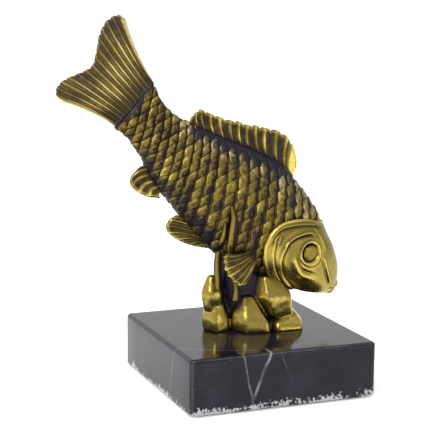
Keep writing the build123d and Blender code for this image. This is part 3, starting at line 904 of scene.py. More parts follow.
def fin_blank(name, rays, plane, along, scallop, bow, web, rise, edge, rim=0.0, front=0.0, back=0.0,
              lip=1.3, root_swell=0.0, fade=0.3, tips=1.0, base=0.0, highlight_streak=0.0, cool=0.0, curl=None):
    """A closed two-sided blade through feet and tips, with the facts that its relief needs."""
    rays = np.asarray(rays, float)
    last = len(rays) - 1
    wide = last * points_per_ray
    u = np.linspace(0, last, wide + 1)
    share = (u / last)[None]
    v = 1 - (1 - np.linspace(0, 1, along + 1)[:, None]) ** 1.15
    columns = [flow(np.arange(last + 1), column, u) for column in rays.T]
    foot = np.column_stack(columns[:2])
    tip = np.column_stack(columns[2:])
    reach = tip - foot
    reach_length = np.linalg.norm(reach, axis=1, keepdims=True)

    # The outline: straight rays from foot to tip, scalloped between the tips and bowed
    nearest = np.clip(2 * np.abs(u - np.round(u)), 0, 1)
    notch = (1 - np.sqrt(1 - nearest**2))[:, None]
    tip = tip - reach / reach_length * scallop * notch
    flat = foot * (1 - v[..., None]) + tip * v[..., None]
    cross = np.column_stack([-reach[:, 1], reach[:, 0]]) / reach_length
    bows = np.interp(share[0], np.linspace(0, 1, np.size(bow)), np.atleast_1d(bow))
    flat = flat + bows[:, None] * cross * (4 * v * (1 - v))[..., None]
    origin, first_axis, second_axis = [np.asarray(item, float) for item in plane]
    blade = origin + flat[..., :1] * first_axis + flat[..., 1:] * second_axis
    normal = np.cross(first_axis, second_axis)
    face = np.broadcast_to(normal, blade.shape)
    if curl is not None:
        blade = blade + curl(share, v)[..., None] * normal
        face = np.cross(np.gradient(blade, axis=1), np.gradient(blade, axis=0))
        face /= np.linalg.norm(face, axis=2, keepdims=True)
        face *= np.sign((face * normal).sum(axis=2, keepdims=True))

    # The thickness: rounded edges, a swelling at the root, a rim and a stout first and last ray
    from_side = np.minimum(share, 1 - share) * last
    round_side = np.sqrt(1 - (1 - np.clip(from_side / 0.42, 0, 1)) ** 2)
    round_tip = np.sqrt(1 - (1 - np.clip((1 - v) / edge, 0, 1)) ** 2)
    thick = round_side * round_tip
    thick[0] = thick[-1] = 0
    thick[:, 0] = thick[:, -1] = 0
    oval = np.sqrt(np.clip(1 - (2 * share - 1) ** 2, 0, 1))
    from_tip = (1 - v) * reach_length.T
    rim_line = hump(from_tip - 0.75, 0.65) * bool(rim)
    front_line = ease((share * last - last + lip) / 0.6) * bool(front)
    back_line = ease((0.9 - share * last) / 0.5) * bool(back)
    stout = np.maximum(front_line, back_line)
    plain = 1 - np.maximum(stout, 0.5 * rim_line)
    swell = root_swell * np.exp(-v / 0.22) * oval + rim * rim_line + front * front_line + back * back_line
    rise_all = rise * ease(v / 0.12) * (1 - 0.25 * v) * plain

    # The wear: bright rims and stout rays, duller roots; a painted highlight streak; waves keep it uneven
    shine = np.maximum(0.75 * rim_line, 1.05 * stout * ease(v / 0.25)) + base
    worn = (0.25 + 0.75 * ease(v / fade)) * (1 + (tips - 1) * v) * plain
    # A painted highlight: a bright streak across the middle of the fin.
    worn = worn + highlight_streak * hump(v - 0.5, 0.22) * oval
    worn = worn * (1 + 0.22 * np.sin(2.3 * u) + 0.2 * np.sin(9.0 * v + 1.7 * u))

    # Two sheets of points that share their edge
    index = np.arange((along + 1) * (wide + 1)).reshape(along + 1, wide + 1)
    other = index.copy()
    other[1:-1, 1:-1] = np.arange((along - 1) * (wide - 1)).reshape(along - 1, wide - 1) + index.size
    quads = []
    for i in range(along):
        for j in range(wide):
            quads.append((index[i, j], index[i, j + 1], index[i + 1, j + 1], index[i + 1, j]))
            quads.append((other[i, j], other[i + 1, j], other[i + 1, j + 1], other[i, j + 1]))

    def both(values, flip=1):
        values = values * np.ones(index.shape + (1,) * (np.ndim(values) - 2))
        inner = flip * values[1:-1, 1:-1]
        return np.concatenate([values.reshape(index.size, -1), inner.reshape(-1, values[0, 0].size)])

    piece = new_object(name, both(blade) * MM, quads)
    store(piece, "side", both(face * thick[..., None], -1), "FLOAT_VECTOR")
    store(piece, "ray", both(u[None]))
    store(piece, "swell", both(swell) * MM)
    store(piece, "rise", both(rise_all) * MM)
    store(piece, "web", both(web * (1 - 0.35 * v)) * MM)
    store(piece, "shine", both(shine))
    store(piece, "worn", both(worn))
    store(piece, "cool", both(np.maximum(cool, 0.75 * ease(1 - v / 0.3))))
    return piece


# %% [markdown]
# ## The tree that raises fin rays
#
# A ray is a wave across the fin. A cosine of the ray's number gives a crest on every ray, a power
# sharpens it, and a second wave twice as fast sets a finer ray between each two.

# %% Build the tree that raises fin rays
raising, given = new_group("raise_rays", "GeometryNodeTree", {
    "Geometry": ("Geometry", None), "Ray sharpness": ("Float", 2.5), "Fine rays": ("Float", 0.35),
    "Material": ("Material", None),
}, {"Geometry": "Geometry"})


def ray_wave(turns):
    """Crests between 0 and 1, sharpened."""
    wave = calc(raising, "MULTIPLY_ADD", calc(raising, "COSINE", turns), 0.5, 0.5)
    return calc(raising, "POWER", wave, given["Ray sharpness"])


ray_turns = calc(raising, "MULTIPLY", named_value(raising, "ray"), math.tau)
fine_wave = ray_wave(calc(raising, "MULTIPLY", ray_turns, 2.0))
fine_crest = calc(raising, "MULTIPLY", fine_wave, given["Fine rays"])
crest = calc(raising, "MAXIMUM", ray_wave(ray_turns), fine_crest)
thick = calc(raising, "MULTIPLY_ADD", named_value(raising, "rise"), crest, named_value(raising, "web"))
thick = calc(raising, "ADD", thick, named_value(raising, "swell"))
offset = vector(raising, "SCALE", {0: named_value(raising, "side", "FLOAT_VECTOR"), "Scale": thick})
raised = add(raising, "GeometryNodeSetPosition", {"Geometry": given["Geometry"], "Offset": offset})
crest_shine = calc(raising, "MULTIPLY_ADD", crest, 0.82, 0.08)
worn, shine = [named_value(raising, name) for name in ("worn", "shine")]
polish = calc(raising, "MULTIPLY_ADD", crest_shine, worn, shine)
kept = add(raising, "GeometryNodeStoreNamedAttribute", {
    "Geometry": raised.outputs[0], "Name": "polish", "Value": polish,
}, data_type="FLOAT", domain="POINT")
look = {"Geometry": kept.outputs[0], "Material": given["Material"]}
give(raising, add(raising, "GeometryNodeSetMaterial", look).outputs[0])
fish_plane = (tail_root / MM, along_axis, up_axis)


def finish_fin(piece, node, sharpness, fine):
    """Raises the rays on a blank and hands it to the frame."""
    piece = grow(piece, raising, Ray_sharpness=sharpness, Fine_rays=fine, Material=brass_fins)
    tidy_normals(piece)
    keep(piece, brass_fins, "brass_fins", node)


# %% [markdown]
# ## Fins in the middle plane
#
# Each ray below is a foot and a tip in the fish's own axes. The tail has a stout ray at both
# edges, the dorsal fin one at its front, and the two fins of the belly are plain fans.

# %% Tail, dorsal, anal and pelvic fins
tail_rays = (
    (1.0, -14.2, -28.0, -22.2), (0.8, -12.9, -32.8, -21.9), (0.8, -11.2, -35.0, -19.2),
    (0.8, -9.4, -35.1, -15.2), (0.8, -7.4, -33.6, -11.2), (0.8, -5.4, -31.5, -7.2),
    (0.8, -3.2, -29.6, -3.4), (0.8, -1.0, -28.6, 0.6), (0.8, 1.2, -30.2, 4.6),
    (1.0, 3.6, -32.4, 8.6), (1.2, 6.0, -34.8, 12.6), (1.2, 8.2, -36.4, 16.8),
    (1.4, 10.4, -37.0, 21.0), (1.4, 12.0, -36.0, 25.0), (1.5, 13.3, -34.0, 27.7),
    (1.6, 14.2, -30.8, 28.4),
)
tail = fin_blank(
    "carp_tail", tail_rays, fish_plane, along=44, scallop=0.7, bow=(-1.2, 0.0, 1.4), web=0.75, rise=0.80,
    edge=0.05, front=0.30, back=0.30, root_swell=3.0, fade=0.45, tips=0.45, base=0.17, highlight_streak=0.5, cool=0.38,
)
finish_fin(tail, "tail_fin", 2.2, 0.45)

dorsal_rays = (
    (32.5, 9.5, 27.3, 14.2), (35.3, 11.6, 27.8, 17.6), (38.6, 13.0, 28.8, 20.6), (43.2, 15.0, 34.0, 22.4),
    (48.9, 16.8, 39.0, 24.2), (53.7, 18.8, 44.6, 26.6), (58.2, 20.4, 48.8, 29.2), (62.1, 22.0, 53.6, 31.0),
    (68.3, 23.6, 57.2, 33.6), (72.5, 25.0, 62.0, 36.0), (79.9, 26.0, 68.0, 39.2), (85.0, 26.4, 74.8, 40.6),
    (89.2, 26.4, 81.4, 38.8), (91.2, 26.2, 86.2, 35.6), (92.4, 26.0, 89.8, 31.8),
)
dorsal = fin_blank(
    "carp_dorsal", dorsal_rays, fish_plane, along=34, scallop=1.3, bow=0.7, web=0.70, rise=0.95, edge=0.10,
    rim=0.50, front=0.70, lip=2.8, fade=0.35,
)
finish_fin(dorsal, "dorsal_fin", 4.0, 0.0)

anal_rays = (
    (26.0, -18.0, 22.9, -25.6), (27.4, -19.0, 23.0, -29.4), (30.4, -20.4, 25.6, -31.6),
    (33.8, -21.6, 30.6, -31.7), (37.4, -22.6, 36.2, -30.2), (41.2, -23.2, 41.8, -26.6),
)
anal = fin_blank(
    "carp_anal", anal_rays, fish_plane, along=26, scallop=0.25, bow=-1.6, web=0.8, rise=0.8, edge=0.12,
    rim=0.35,
)
finish_fin(anal, "anal_fin", 2.2, 0.0)

pelvic_rays = (
    (77.0, -25.0, 54.0, -27.8), (77.6, -26.0, 52.7, -31.6), (78.2, -27.0, 53.4, -35.4),
    (78.8, -27.6, 56.6, -37.2), (79.4, -28.2, 62.6, -37.0), (80.0, -28.6, 69.6, -35.0),
    (80.8, -28.8, 77.0, -31.4),
)
pelvic = fin_blank(
    "carp_pelvic", pelvic_rays, fish_plane, along=36, scallop=0.25, bow=-2.2, web=0.9, rise=0.7, edge=0.07,
    rim=0.30, tips=0.8,
)
finish_fin(pelvic, "pelvic_fin", 2.0, 0.5)

# %% [markdown]
# ## Pectoral fins
#
# The pair beside the rocks is cupped and stands off the flanks. Its rays are given backwards and
# downwards from the root. The hidden left fin lies further back, since it doesn't show past the
# belly in the photograph.

# %% Pectoral fins
pectoral_rays = (
    (1.7, -0.6, 15.0, 12.6), (1.4, -0.1, 15.2, 14.4), (1.0, 0.3, 13.8, 16.6), (0.4, 0.7, 11.4, 19.4),
    (-0.2, 1.0, 7.8, 21.2), (-0.8, 1.2, 3.6, 21.9), (-1.3, 1.3, -0.4, 21.2), (-1.8, 1.3, -3.2, 18.6),
)
root_station = 0.642 * body_length
root_level = -0.590 * belly_depth
root_side = float(flank(root_station, root_level))
cup_depth = 0.9
cup_flare = 1.2
right_flare = math.radians(22.0)
left_lean = math.radians(12.0)
left_swing = math.radians(55.0)


def pectoral(name, node, back_way, down_way, side):
    """A cupped fan from the pectoral root."""
    origin = place([(root_station, root_level, side * root_side)])[0] / MM

    def cup(share, out):
        return side * (cup_depth * (1 - (2 * share - 1) ** 2) * out + cup_flare * out * out)

    blade = fin_blank(
        name, pectoral_rays, (origin, back_way, down_way), along=34, scallop=0.9, bow=1.2, web=0.7,
        rise=0.75, edge=0.07, rim=0.15, root_swell=0.7, curl=cup,
    )
    finish_fin(blade, node, 2.2, 0.35)


right_down = fish_vector(0, -math.cos(right_flare), math.sin(right_flare))
pectoral("carp_pectoral_right", "pectoral_fin_right", fish_vector(-1, 0, 0), right_down, 1)
lean_back = fish_vector(-math.cos(left_lean), 0, -math.sin(left_lean))
flank_down = fish_vector(0, -1, 0)
left_back = math.cos(left_swing) * lean_back - math.sin(left_swing) * flank_down
left_down = math.sin(left_swing) * lean_back + math.cos(left_swing) * flank_down
pectoral("carp_pectoral_left", "pectoral_fin_left", left_back, left_down, -1)

# %% [markdown]
# ## The eyes
#
# Each eye is a separate domed plug pressed into a ringed socket. It is turned like work on a
# lathe: one half profile swept round the socket's axis.

# %% Turn the eyes
eye_tilt = math.radians(14.0)
eye_stand = 0.35
eye_side = float(flank(eye_station, eye_height)) + eye_stand
eye_sides = 64
# Radius, height and polish of each point of the profile
eye_profile = (
    (0.0, -2.0, 0.0), (4.2, -2.0, 0.0), (4.2, 0.05, 0.1), (4.1, 0.38, 0.45), (3.7, 0.66, 0.60),
    (2.75, 0.88, 0.62), (1.9, 1.03, 0.62), (1.0, 1.12, 0.62), (0.0, 1.15, 0.62),
)


def turned_eye(name, node, side):
    """A domed plug in its socket."""
    centre = place([(eye_station, eye_height, side * eye_side)])[0]
    axis = fish_vector(math.sin(eye_tilt), 0, side * math.cos(eye_tilt))
    one = fish_vector(math.cos(eye_tilt), 0, -side * math.sin(eye_tilt))
    two = np.cross(axis, one)
    points = []
    shine = []
    for r, h, polish in eye_profile[1:-1]:
        for k in range(eye_sides):
            a = math.tau * k / eye_sides
            points.append(centre + MM * (r * (math.cos(a) * one + math.sin(a) * two) + h * axis))
            shine.append(polish)
    for _, h, polish in (eye_profile[0], eye_profile[-1]):
        points.append(centre + MM * h * axis)
        shine.append(polish)
    rows = len(eye_profile) - 2
    faces = ring_faces(rows, eye_sides)
    for k in range(eye_sides):
        n = (k + 1) % eye_sides
        faces.append((rows * eye_sides, k, n))
        faces.append((rows * eye_sides + 1, (rows - 1) * eye_sides + n, (rows - 1) * eye_sides + k))
    eye = new_object(name, points, faces)
    tidy_normals(eye)
    store(eye, "polish", shine)
    keep(eye, brass, "brass_body", node)


turned_eye("carp_eye_right", "eye_right", 1)
turned_eye("carp_eye_left", "eye_left", -1)

# %% [markdown]
# ## The rocks
#
# The rocks are one casting of several boulders. Each boulder starts as three six-sided rings, one
# above the other, with a tight skin round them. That gives flat facets, which smoothing then wears
# round at their edges. At the end the boulders are melted into one skin.

# %% Model the rocks
# Boulders: low and high middle as shares of the rocks' length, width and height, six reaches as
# shares of their width, then the scale of the foot, the shoulder's level and scale, and the top's scale
boulder_shares = (
    ((-0.380, 0.03, 0.34), (-0.395, 0.03, 1.00),
     (0.22, 0.21, 0.19, 0.20, 0.21, 0.21), (0.80, 0.50, 1.06, 0.40)),
    ((-0.307, 0.05, -0.03), (-0.335, 0.05, 0.60),
     (0.17, 0.26, 0.34, 0.30, 0.31, 0.24), (1.04, 0.40, 1.0, 0.55)),
    ((-0.050, -0.14, -0.03), (-0.100, -0.12, 0.64),
     (0.40, 0.36, 0.32, 0.33, 0.32, 0.43), (1.04, 0.34, 1.0, 0.44)),
    ((0.235, -0.10, 0.25), (0.140, -0.05, 1.00),
     (0.34, 0.34, 0.36, 0.50, 0.49, 0.40), (0.84, 0.48, 1.0, 0.66)),
    ((0.278, -0.12, -0.03), (0.276, -0.08, 0.40),
     (0.41, 0.36, 0.34, 0.42, 0.45, 0.45), (1.04, 0.35, 1.0, 0.40)),
    ((-0.196, 0.21, -0.03), (-0.196, 0.19, 0.62),
     (0.32, 0.31, 0.32, 0.34, 0.29, 0.29), (0.96, 0.55, 1.0, 0.60)),
    ((0.161, 0.20, -0.03), (0.136, 0.18, 0.72),
     (0.39, 0.34, 0.34, 0.32, 0.29, 0.29), (0.96, 0.50, 1.0, 0.62)),
    ((-0.089, 0.08, 0.17), (-0.093, 0.08, 1.30),
     (0.37, 0.31, 0.31, 0.37, 0.30, 0.30), (0.96, 0.50, 1.0, 1.0)),
)
plinth_low, plinth_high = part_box("marble_plinth")
block_low = plinth_low[2] / MM
top_z = plinth_high[2] / MM
rock_length = 56.0
rock_width = 31.0
rock_height = 29.2
rock_middle = np.array((2.4, 0, top_z))
rock_size = np.array((rock_length, rock_width, rock_height))


def boulder(low, high, reaches, steps):
    """A faceted block, three six-sided rings one above the other, worn round at its edges."""
    foot, shoulder, wide, top = steps
    work = bmesh.new()
    for level, scale in ((0, foot), (shoulder, wide), (1, top)):
        middle = rock_middle + rock_size * ((1 - level) * np.array(low) + level * np.array(high))
        for k, reach in enumerate(reaches):
            a = math.radians(60 * k)
            corner = middle + scale * reach * rock_width * np.array((math.cos(a), math.sin(a), 0))
            work.verts.new(corner * MM)
    bmesh.ops.convex_hull(work, input=work.verts)
    made = object_from("boulder", work)
    modify(made, "melt", "REMESH", mode="VOXEL", voxel_size=0.7 * MM)
    modify(made, "wear", "SMOOTH", factor=0.5, iterations=44)
    return settled(made)


boulders = [boulder(*shares) for shares in boulder_shares]
work = bmesh.new()
for one in boulders:
    work.from_mesh(one.data)
    bpy.data.objects.remove(one)
rocks = object_from("brass_rocks", work)
modify(rocks, "melt", "REMESH", mode="VOXEL", voxel_size=0.5 * MM, use_smooth_shade=True)
modify(rocks, "soften", "SMOOTH", factor=0.5, iterations=3)
rocks = settled(rocks)

# %% [markdown]
# ## Skin of the rocks
#
# A casting of worn stone is never quite flat, so slow noise swells the skin a little. Then the
# heap is cut off level where it stands on the marble.

# %% Swell the skin and cut the foot
swell_height = 0.35
rock_points = read(rocks.data.vertices, "co")
swells = np.array([noise.noise(Vector(p) * 110) + 0.4 * noise.noise(Vector(p) * 320) for p in rock_points])
rock_points += read(rocks.data.vertex_normals, "vector") * swells[:, None] * swell_height * MM
rocks.data.vertices.foreach_set("co", rock_points.astype(np.float32).ravel())
rocks.data.update()
work = bmesh.new()
work.from_mesh(rocks.data)
everything = work.verts[:] + work.edges[:] + work.faces[:]
cut = bmesh.ops.bisect_plane(
    work, geom=everything, plane_co=(0, 0, plinth_high[2]), plane_no=(0, 0, -1), clear_outer=True,
)
bmesh.ops.holes_fill(work, edges=[item for item in cut["geom_cut"] if isinstance(item, bmesh.types.BMEdge)])
bmesh.ops.recalc_face_normals(work, faces=work.faces)
work.to_mesh(rocks.data)
work.free()
for polygon in rocks.data.polygons:
    polygon.use_smooth = True

# %% [markdown]
# ## Painted shade between the rocks
#
# The crevices and the rock under the fish are painted darker and cooler as shade. To find those
# places, a dozen feelers go out from every point of the rocks. The sooner they meet a rock or the
# fish, the darker the brass is painted there.

# %% Paint shade into the crevices
feeler_count = 12
feeler_reach = 16.0 * MM
feeler_lift = 0.6 * MM
rock_points = read(rocks.data.vertices, "co")
rock_out = read(rocks.data.vertex_normals, "vector")
depsgraph = bpy.context.evaluated_depsgraph_get()
trees = [BVHTree.FromObject(piece, depsgraph) for piece in (rocks, body)]
feelers = np.random.default_rng(5).normal(size=(feeler_count, 3))
feelers /= np.linalg.norm(feelers, axis=1, keepdims=True)
painted_occlusion = np.zeros(len(rock_points))
for k, (point, out) in enumerate(zip(rock_points, rock_out)):
    start = Vector(point + out * feeler_lift)
    for feeler in feelers:
        way = Vector(feeler + 1.02 * out)
        hits = [tree.ray_cast(start, way, feeler_reach) for tree in trees]
        near = [hit[3] for hit in hits if hit[0]]
        if near:
            painted_occlusion[k] += (1.25 - min(near) / feeler_reach) / feeler_count
x, y, z = (rock_points / MM).T
# Painted shade: the cavity under the fish, behind the rocks, is darker.
painted_cavity_shade = ease((y + 10) / 5) * ease((x + 15) / 3) * ease((12 - x) / 4) * ease((z - 38) / 5)
# The brass is painted darker and cooler where shade falls in the crevices and under the fish.
store(rocks, "polish", np.clip(0.80 - 1.6 * np.maximum(painted_occlusion - 0.08, 0) - 1.2 * painted_cavity_shade, -0.4, 1))
store(rocks, "cool", np.clip(painted_occlusion * 1.2 - 0.2 + painted_cavity_shade, 0, 1))
keep(rocks, brass_rocks, "brass_rocks", "rock_base")

# %% [markdown]
# ## The weed
#
# Two stems of water weed rise from the rocks and end on the flank. Each is a ribbed tube
# along a smooth line. The upper guide points are given in the fish's own axes, so they lie on it.

# %% Grow the weed stems
stem_sides = 18


def on_flank(s, t, out):
    """A point that stands off the right flank."""
    return place([(s, t, float(flank(s, t)) + out)])[0] / MM


def weed(name, node, guides, radii, flatness, ribs):
    """A ribbed stem through a few points."""
    line = curve_through(guides, 14)
    width = np.interp(np.linspace(0, 1, len(line)), np.linspace(0, 1, len(radii)), radii)
    run = np.gradient(line, axis=0)
    run /= np.linalg.norm(run, axis=1, keepdims=True)
    across = np.cross(run, side_axis)
    across /= np.linalg.norm(across, axis=1, keepdims=True)
    depth = np.cross(across, run)
    points = []
    shine = []
    for i in range(len(line)):
        for k in range(stem_sides):
            a = math.tau * k / stem_sides
            r = width[i] * (1 + ribs * math.cos(3 * a))
            points.append(line[i] + r * math.cos(a) * across[i] + r * flatness * math.sin(a) * depth[i])
            shine.append(0.24 + 0.42 * math.cos(3 * a))
    faces = ring_faces(len(line), stem_sides)
    faces.append(tuple(range(stem_sides)))
    faces.append(tuple(reversed(range((len(line) - 1) * stem_sides, len(line) * stem_sides))))
    stem = new_object(name, np.array(points) * MM, faces)
    tidy_normals(stem)
    store(stem, "polish", shine)
    keep(stem, brass_rocks, "brass_rocks", node)


rear_guides = (
    (-17.2, -1.5, 49), (-17.3, -2.0, 56), (-17.8, -2.6, 64), (-17.0, -3.2, 72), (-14.6, -4.6, 78),
    on_flank(78.5, -24, 1.0), on_flank(75.5, -20, 0.9), on_flank(72.5, -16, 0.3),
)
front_guides = (
    (-9.6, -8.0, 46), (-9.8, -8.6, 52), (-11.6, -9.4, 60), (-13.2, -9.8, 70), on_flank(82.6, -22, 0.9),
    on_flank(77.4, -16, 0.9), on_flank(73.4, -11, 0.8), on_flank(69.2, -7.6, 0.2),
)
rear_radii = (2.5, 2.2, 2.1, 2.0, 2.0, 2.0, 1.6, 0.7)
front_radii = (2.6, 1.8, 1.7, 1.9, 2.5, 2.3, 1.9, 1.1)
weed("weed_rear", "weed_stem_rear", rear_guides, rear_radii, 0.8, 0.14)
weed("weed_front", "weed_stem_front", front_guides, front_radii, 0.7, 0.08)

# %% [markdown]
# ## Black marble
#
# The plinth is cut from black marble with a few thin pale veins and a band of pale crystals along
# its foot. A vein in real stone is a thin sheet that runs right through the block, so each one
# here is a plane through the stone, bent a little. It shows wherever it meets a face, and fades
# out at the end of its reach.

# %% Build the group for a vein
veining, given = new_group("stone_vein", "ShaderNodeTree", {
    "Place": ("Vector", None), "Facing": ("Vector", None), "Offset": ("Float", 0.0),
    "Width": ("Float", 0.0006), "Bend": ("Float", 0.006), "Middle": ("Vector", None),
    "Reach": ("Float", 0.1),
}, {"Mask": "Float"})
depth = vector(veining, "DOT_PRODUCT", {0: given["Place"], 1: given["Facing"]})
bend = calc(veining, "MULTIPLY", cloud(veining, given["Place"], 45, 3), given["Bend"])
gap = calc(veining, "ADD", calc(veining, "SUBTRACT", depth, given["Offset"]), bend)
thin = calc(veining, "DIVIDE", calc(veining, "ABSOLUTE", gap), given["Width"])
broken = smooth_between(veining, cloud(veining, given["Place"], 140, 3), -0.12, 0.10, 0.25, 1.0)
mask = calc(veining, "MULTIPLY", smooth_between(veining, thin, 0.0, 1.0, 1.0, 0.0), broken)
away = vector(veining, "DISTANCE", {0: given["Place"], 1: given["Middle"]})
away = calc(veining, "DIVIDE", away, given["Reach"])
give(veining, calc(veining, "MULTIPLY", mask, smooth_between(veining, away, 0.8, 1.1, 1.0, 0.0)))

# %% [markdown]
# ## The stone's looks
#
# The marble is laid on in layers: the dark stone, its veins, the ground edges, which are a little
# paler than the polished faces, and last the crystals, dense at the foot and sparse elsewhere.

# %% Make the marble
# Each vein: its facing, its offset and width in millimetres, its strength, its middle and its reach
vein_table = (
    ((0.395, 0.883, 0.255), -35.9, 0.6, 0.30, (-36, -34, 25), 30),
    ((0.906, 0, -0.423), -19.7, 1.1, 0.55, (-12, -50, 20), 15),
    ((0.935, 0, 0.355), 8.0, 0.5, 0.14, (1, -50, 21), 9),
    ((0.986, 0, 0.164), -17.6, 0.6, 0.30, (-21, -50, 18), 14),
)
vein_colour = (0.55, 0.53, 0.56, 1)
edge_colour = (0.16, 0.16, 0.19, 1)
crystal_colour = (0.60, 0.58, 0.60, 1)
marble, tree, shader = new_material("black_marble")
where = object_place(tree)
apart = add(tree, "ShaderNodeSeparateXYZ", {0: where}).outputs
level = apart["Z"]
stone_tone = smooth_between(tree, cloud(tree, where, 60, 5), -0.1, 0.2)
colour = blend(tree, stone_tone, (0.007, 0.006, 0.010, 1), (0.017, 0.014, 0.024, 1))
for facing, offset, width, strength, middle, reach in vein_table:
    vein = add(tree, "ShaderNodeGroup", node_tree=veining)
    fill(tree, vein, {
        "Place": where, "Facing": facing, "Offset": offset * MM, "Width": width * MM,
        "Middle": Vector(middle) * MM, "Reach": reach * MM,
    })
    colour = blend(tree, calc(tree, "MULTIPLY", vein.outputs[0], strength), colour, vein_colour)
grit = calc(tree, "MULTIPLY_ADD", cloud(tree, where, 130, 3), 0.9, cloud(tree, where, 620, 6))
grit = calc(tree, "MULTIPLY_ADD", cloud(tree, where, 1500, 2), 0.45, grit)
foot_band = smooth_between(tree, level, 10.0 * MM, 1.2 * MM, -0.50, 0.07)
speckle = smooth_between(tree, calc(tree, "ADD", grit, foot_band), 0.0, 0.08)
dust = smooth_between(tree, cloud(tree, where, 900, 4), 0.14, 0.22)
speckle = calc(tree, "MAXIMUM", speckle, calc(tree, "MULTIPLY", dust, 0.10))
from_middle = [calc(tree, "ABSOLUTE", apart[axis]) for axis in ("X", "Y")]
corner = smooth_between(tree, calc(tree, "MINIMUM", *from_middle), 48.2 * MM, 49.4 * MM)
near_side = smooth_between(tree, calc(tree, "MAXIMUM", *from_middle), 48.8 * MM, 49.7 * MM)
near_top = smooth_between(tree, level, (top_z - 1.3) * MM, (top_z - 0.4) * MM)
edges = calc(tree, "MAXIMUM", corner, calc(tree, "MULTIPLY", near_side, near_top))
worn_edge = calc(tree, "MULTIPLY", edges, smooth_between(tree, grit, -0.25, 0.25, 0.3, 1.0))
colour = blend(tree, calc(tree, "MULTIPLY", worn_edge, 0.5), colour, edge_colour)
colour = blend(tree, calc(tree, "MULTIPLY", speckle, 0.85), colour, crystal_colour)
fill(tree, shader, {
    "Base Color": colour, "Metallic": 0.0, "Specular IOR Level": 0.27, "Specular Tint": (0.93, 0.93, 1.0, 1),
    "Roughness": smooth_between(tree, cloud(tree, where, 300, 4), -0.2, 0.2, 0.08, 0.17),
})

# %% [markdown]
# ## The plinth
#
# The block is sawn, drilled for its bolt from below and then ground, and the grinding rounds its
# corners and edges. A box with a bevel would give the outside only, so one skin is lofted instead:
# up the four sides, in over the top, down through the bore and out through the counterbore.

# %% Model the plinth
block_half = 50.0
block_corner = 3.0
least_corner = 0.3
rim_round = 1.9
foot_round = 1.0
bore_radius = 3.4
recess_radius = 9.0
recess_depth = 9.4
crisp = 0.5
corner_steps = 8
side_steps = 6


def square_ring(inset, z):
    """A square with rounded corners."""
    corner = max(block_corner - inset, least_corner)
    ring = []
    for quarter in range(4):
        turn = math.pi / 2 * quarter
        arc = turn + np.linspace(0, math.pi / 2, corner_steps + 1)
        out = np.array((math.cos(turn + math.pi / 4), math.sin(turn + math.pi / 4)))
        middle = (block_half - inset - corner) * math.sqrt(2) * out
        bend = middle + corner * np.column_stack([np.cos(arc), np.sin(arc)])
        ahead = np.array((-math.sin(turn), math.cos(turn))) @ middle
        run = np.linspace(0, 2 * ahead, side_steps + 1)[1:-1, None]
        ring += [bend, bend[-1] + run * np.array((math.cos(turn + math.pi), math.sin(turn + math.pi)))]
    ring = np.vstack(ring)
    return np.column_stack([ring, np.full(len(ring), z)])


def round_ring(radius, z, like):
    """A circle about the bolt, with its points facing those of another ring."""
    around_bolt = like[:, :2] - rock_middle[:2]
    turn = np.arctan2(around_bolt[:, 1], around_bolt[:, 0])
    x = rock_middle[0] + radius * np.cos(turn)
    return np.column_stack([x, radius * np.sin(turn), np.full(len(turn), z)])


quarter_turn = [(1 - math.sin(a), 1 - math.cos(a)) for a in np.linspace(0, math.pi / 2, 6)]
square_rings = [(foot_round + crisp, block_low)]
square_rings += [(foot_round * inner, block_low + foot_round * rise) for inner, rise in quarter_turn]
square_rings += [(0, block_low + foot_round + crisp), (0, top_z - rim_round - crisp)]
square_rings += [(rim_round * inset, top_z - rim_round * below) for below, inset in quarter_turn]
square_rings += [(rim_round + crisp, top_z)]
recess_top = block_low + recess_depth
round_rings = (
    (bore_radius + crisp, top_z), (bore_radius, top_z), (bore_radius, top_z - crisp),
    (bore_radius, recess_top), (recess_radius, recess_top), (recess_radius, block_low),
    (recess_radius + crisp, block_low),
)
block_rings = [square_ring(inset, z) for inset, z in square_rings]
block_rings += [round_ring(radius, z, block_rings[0]) for radius, z in round_rings]
block_faces = ring_faces(len(block_rings), len(block_rings[0]), closed=True)
block = new_object("marble_block", np.vstack(block_rings) * MM, block_faces)
tidy_normals(block)
keep(block, marble, "marble", "marble_plinth")

# %% [markdown]
# ## Steel and felt
#
# The fixing under the marble and the locating pins keep their solids, which are plain already,
# and only take a brushed steel. The felt gets a dark, fuzzy nap.

# %% Make the steel and the felt
steel, tree, shader = new_material("plated_steel")
brushed = smooth_between(tree, cloud(tree, object_place(tree), 700, 4), -0.2, 0.2)
fill(tree, shader, {
    "Base Color": blend(tree, brushed, (0.52, 0.52, 0.54, 1), (0.64, 0.64, 0.66, 1)), "Metallic": 1.0,
    "Roughness": smooth_between(tree, brushed, 0.0, 1.0, 0.26, 0.38),
})
for name in ("fixing_stud", "fixing_washer", "fixing_nut", "locating_pins"):
    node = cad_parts[name]
    node.data.materials.clear()
    node.data.materials.append(steel)

felt, tree, shader = new_material("pressed_felt")
fibres = cloud(tree, object_place(tree), 1600, 5)
nap = smooth_between(tree, fibres, -0.15, 0.2)
fuzz = add(tree, "ShaderNodeBump", {"Height": fibres, "Strength": 0.8, "Distance": 0.6 * MM})
fill(tree, shader, {
    "Base Color": blend(tree, nap, (0.018, 0.018, 0.022, 1), (0.055, 0.055, 0.062, 1)), "Roughness": 0.95,
    "Normal": fuzz.outputs["Normal"],
})
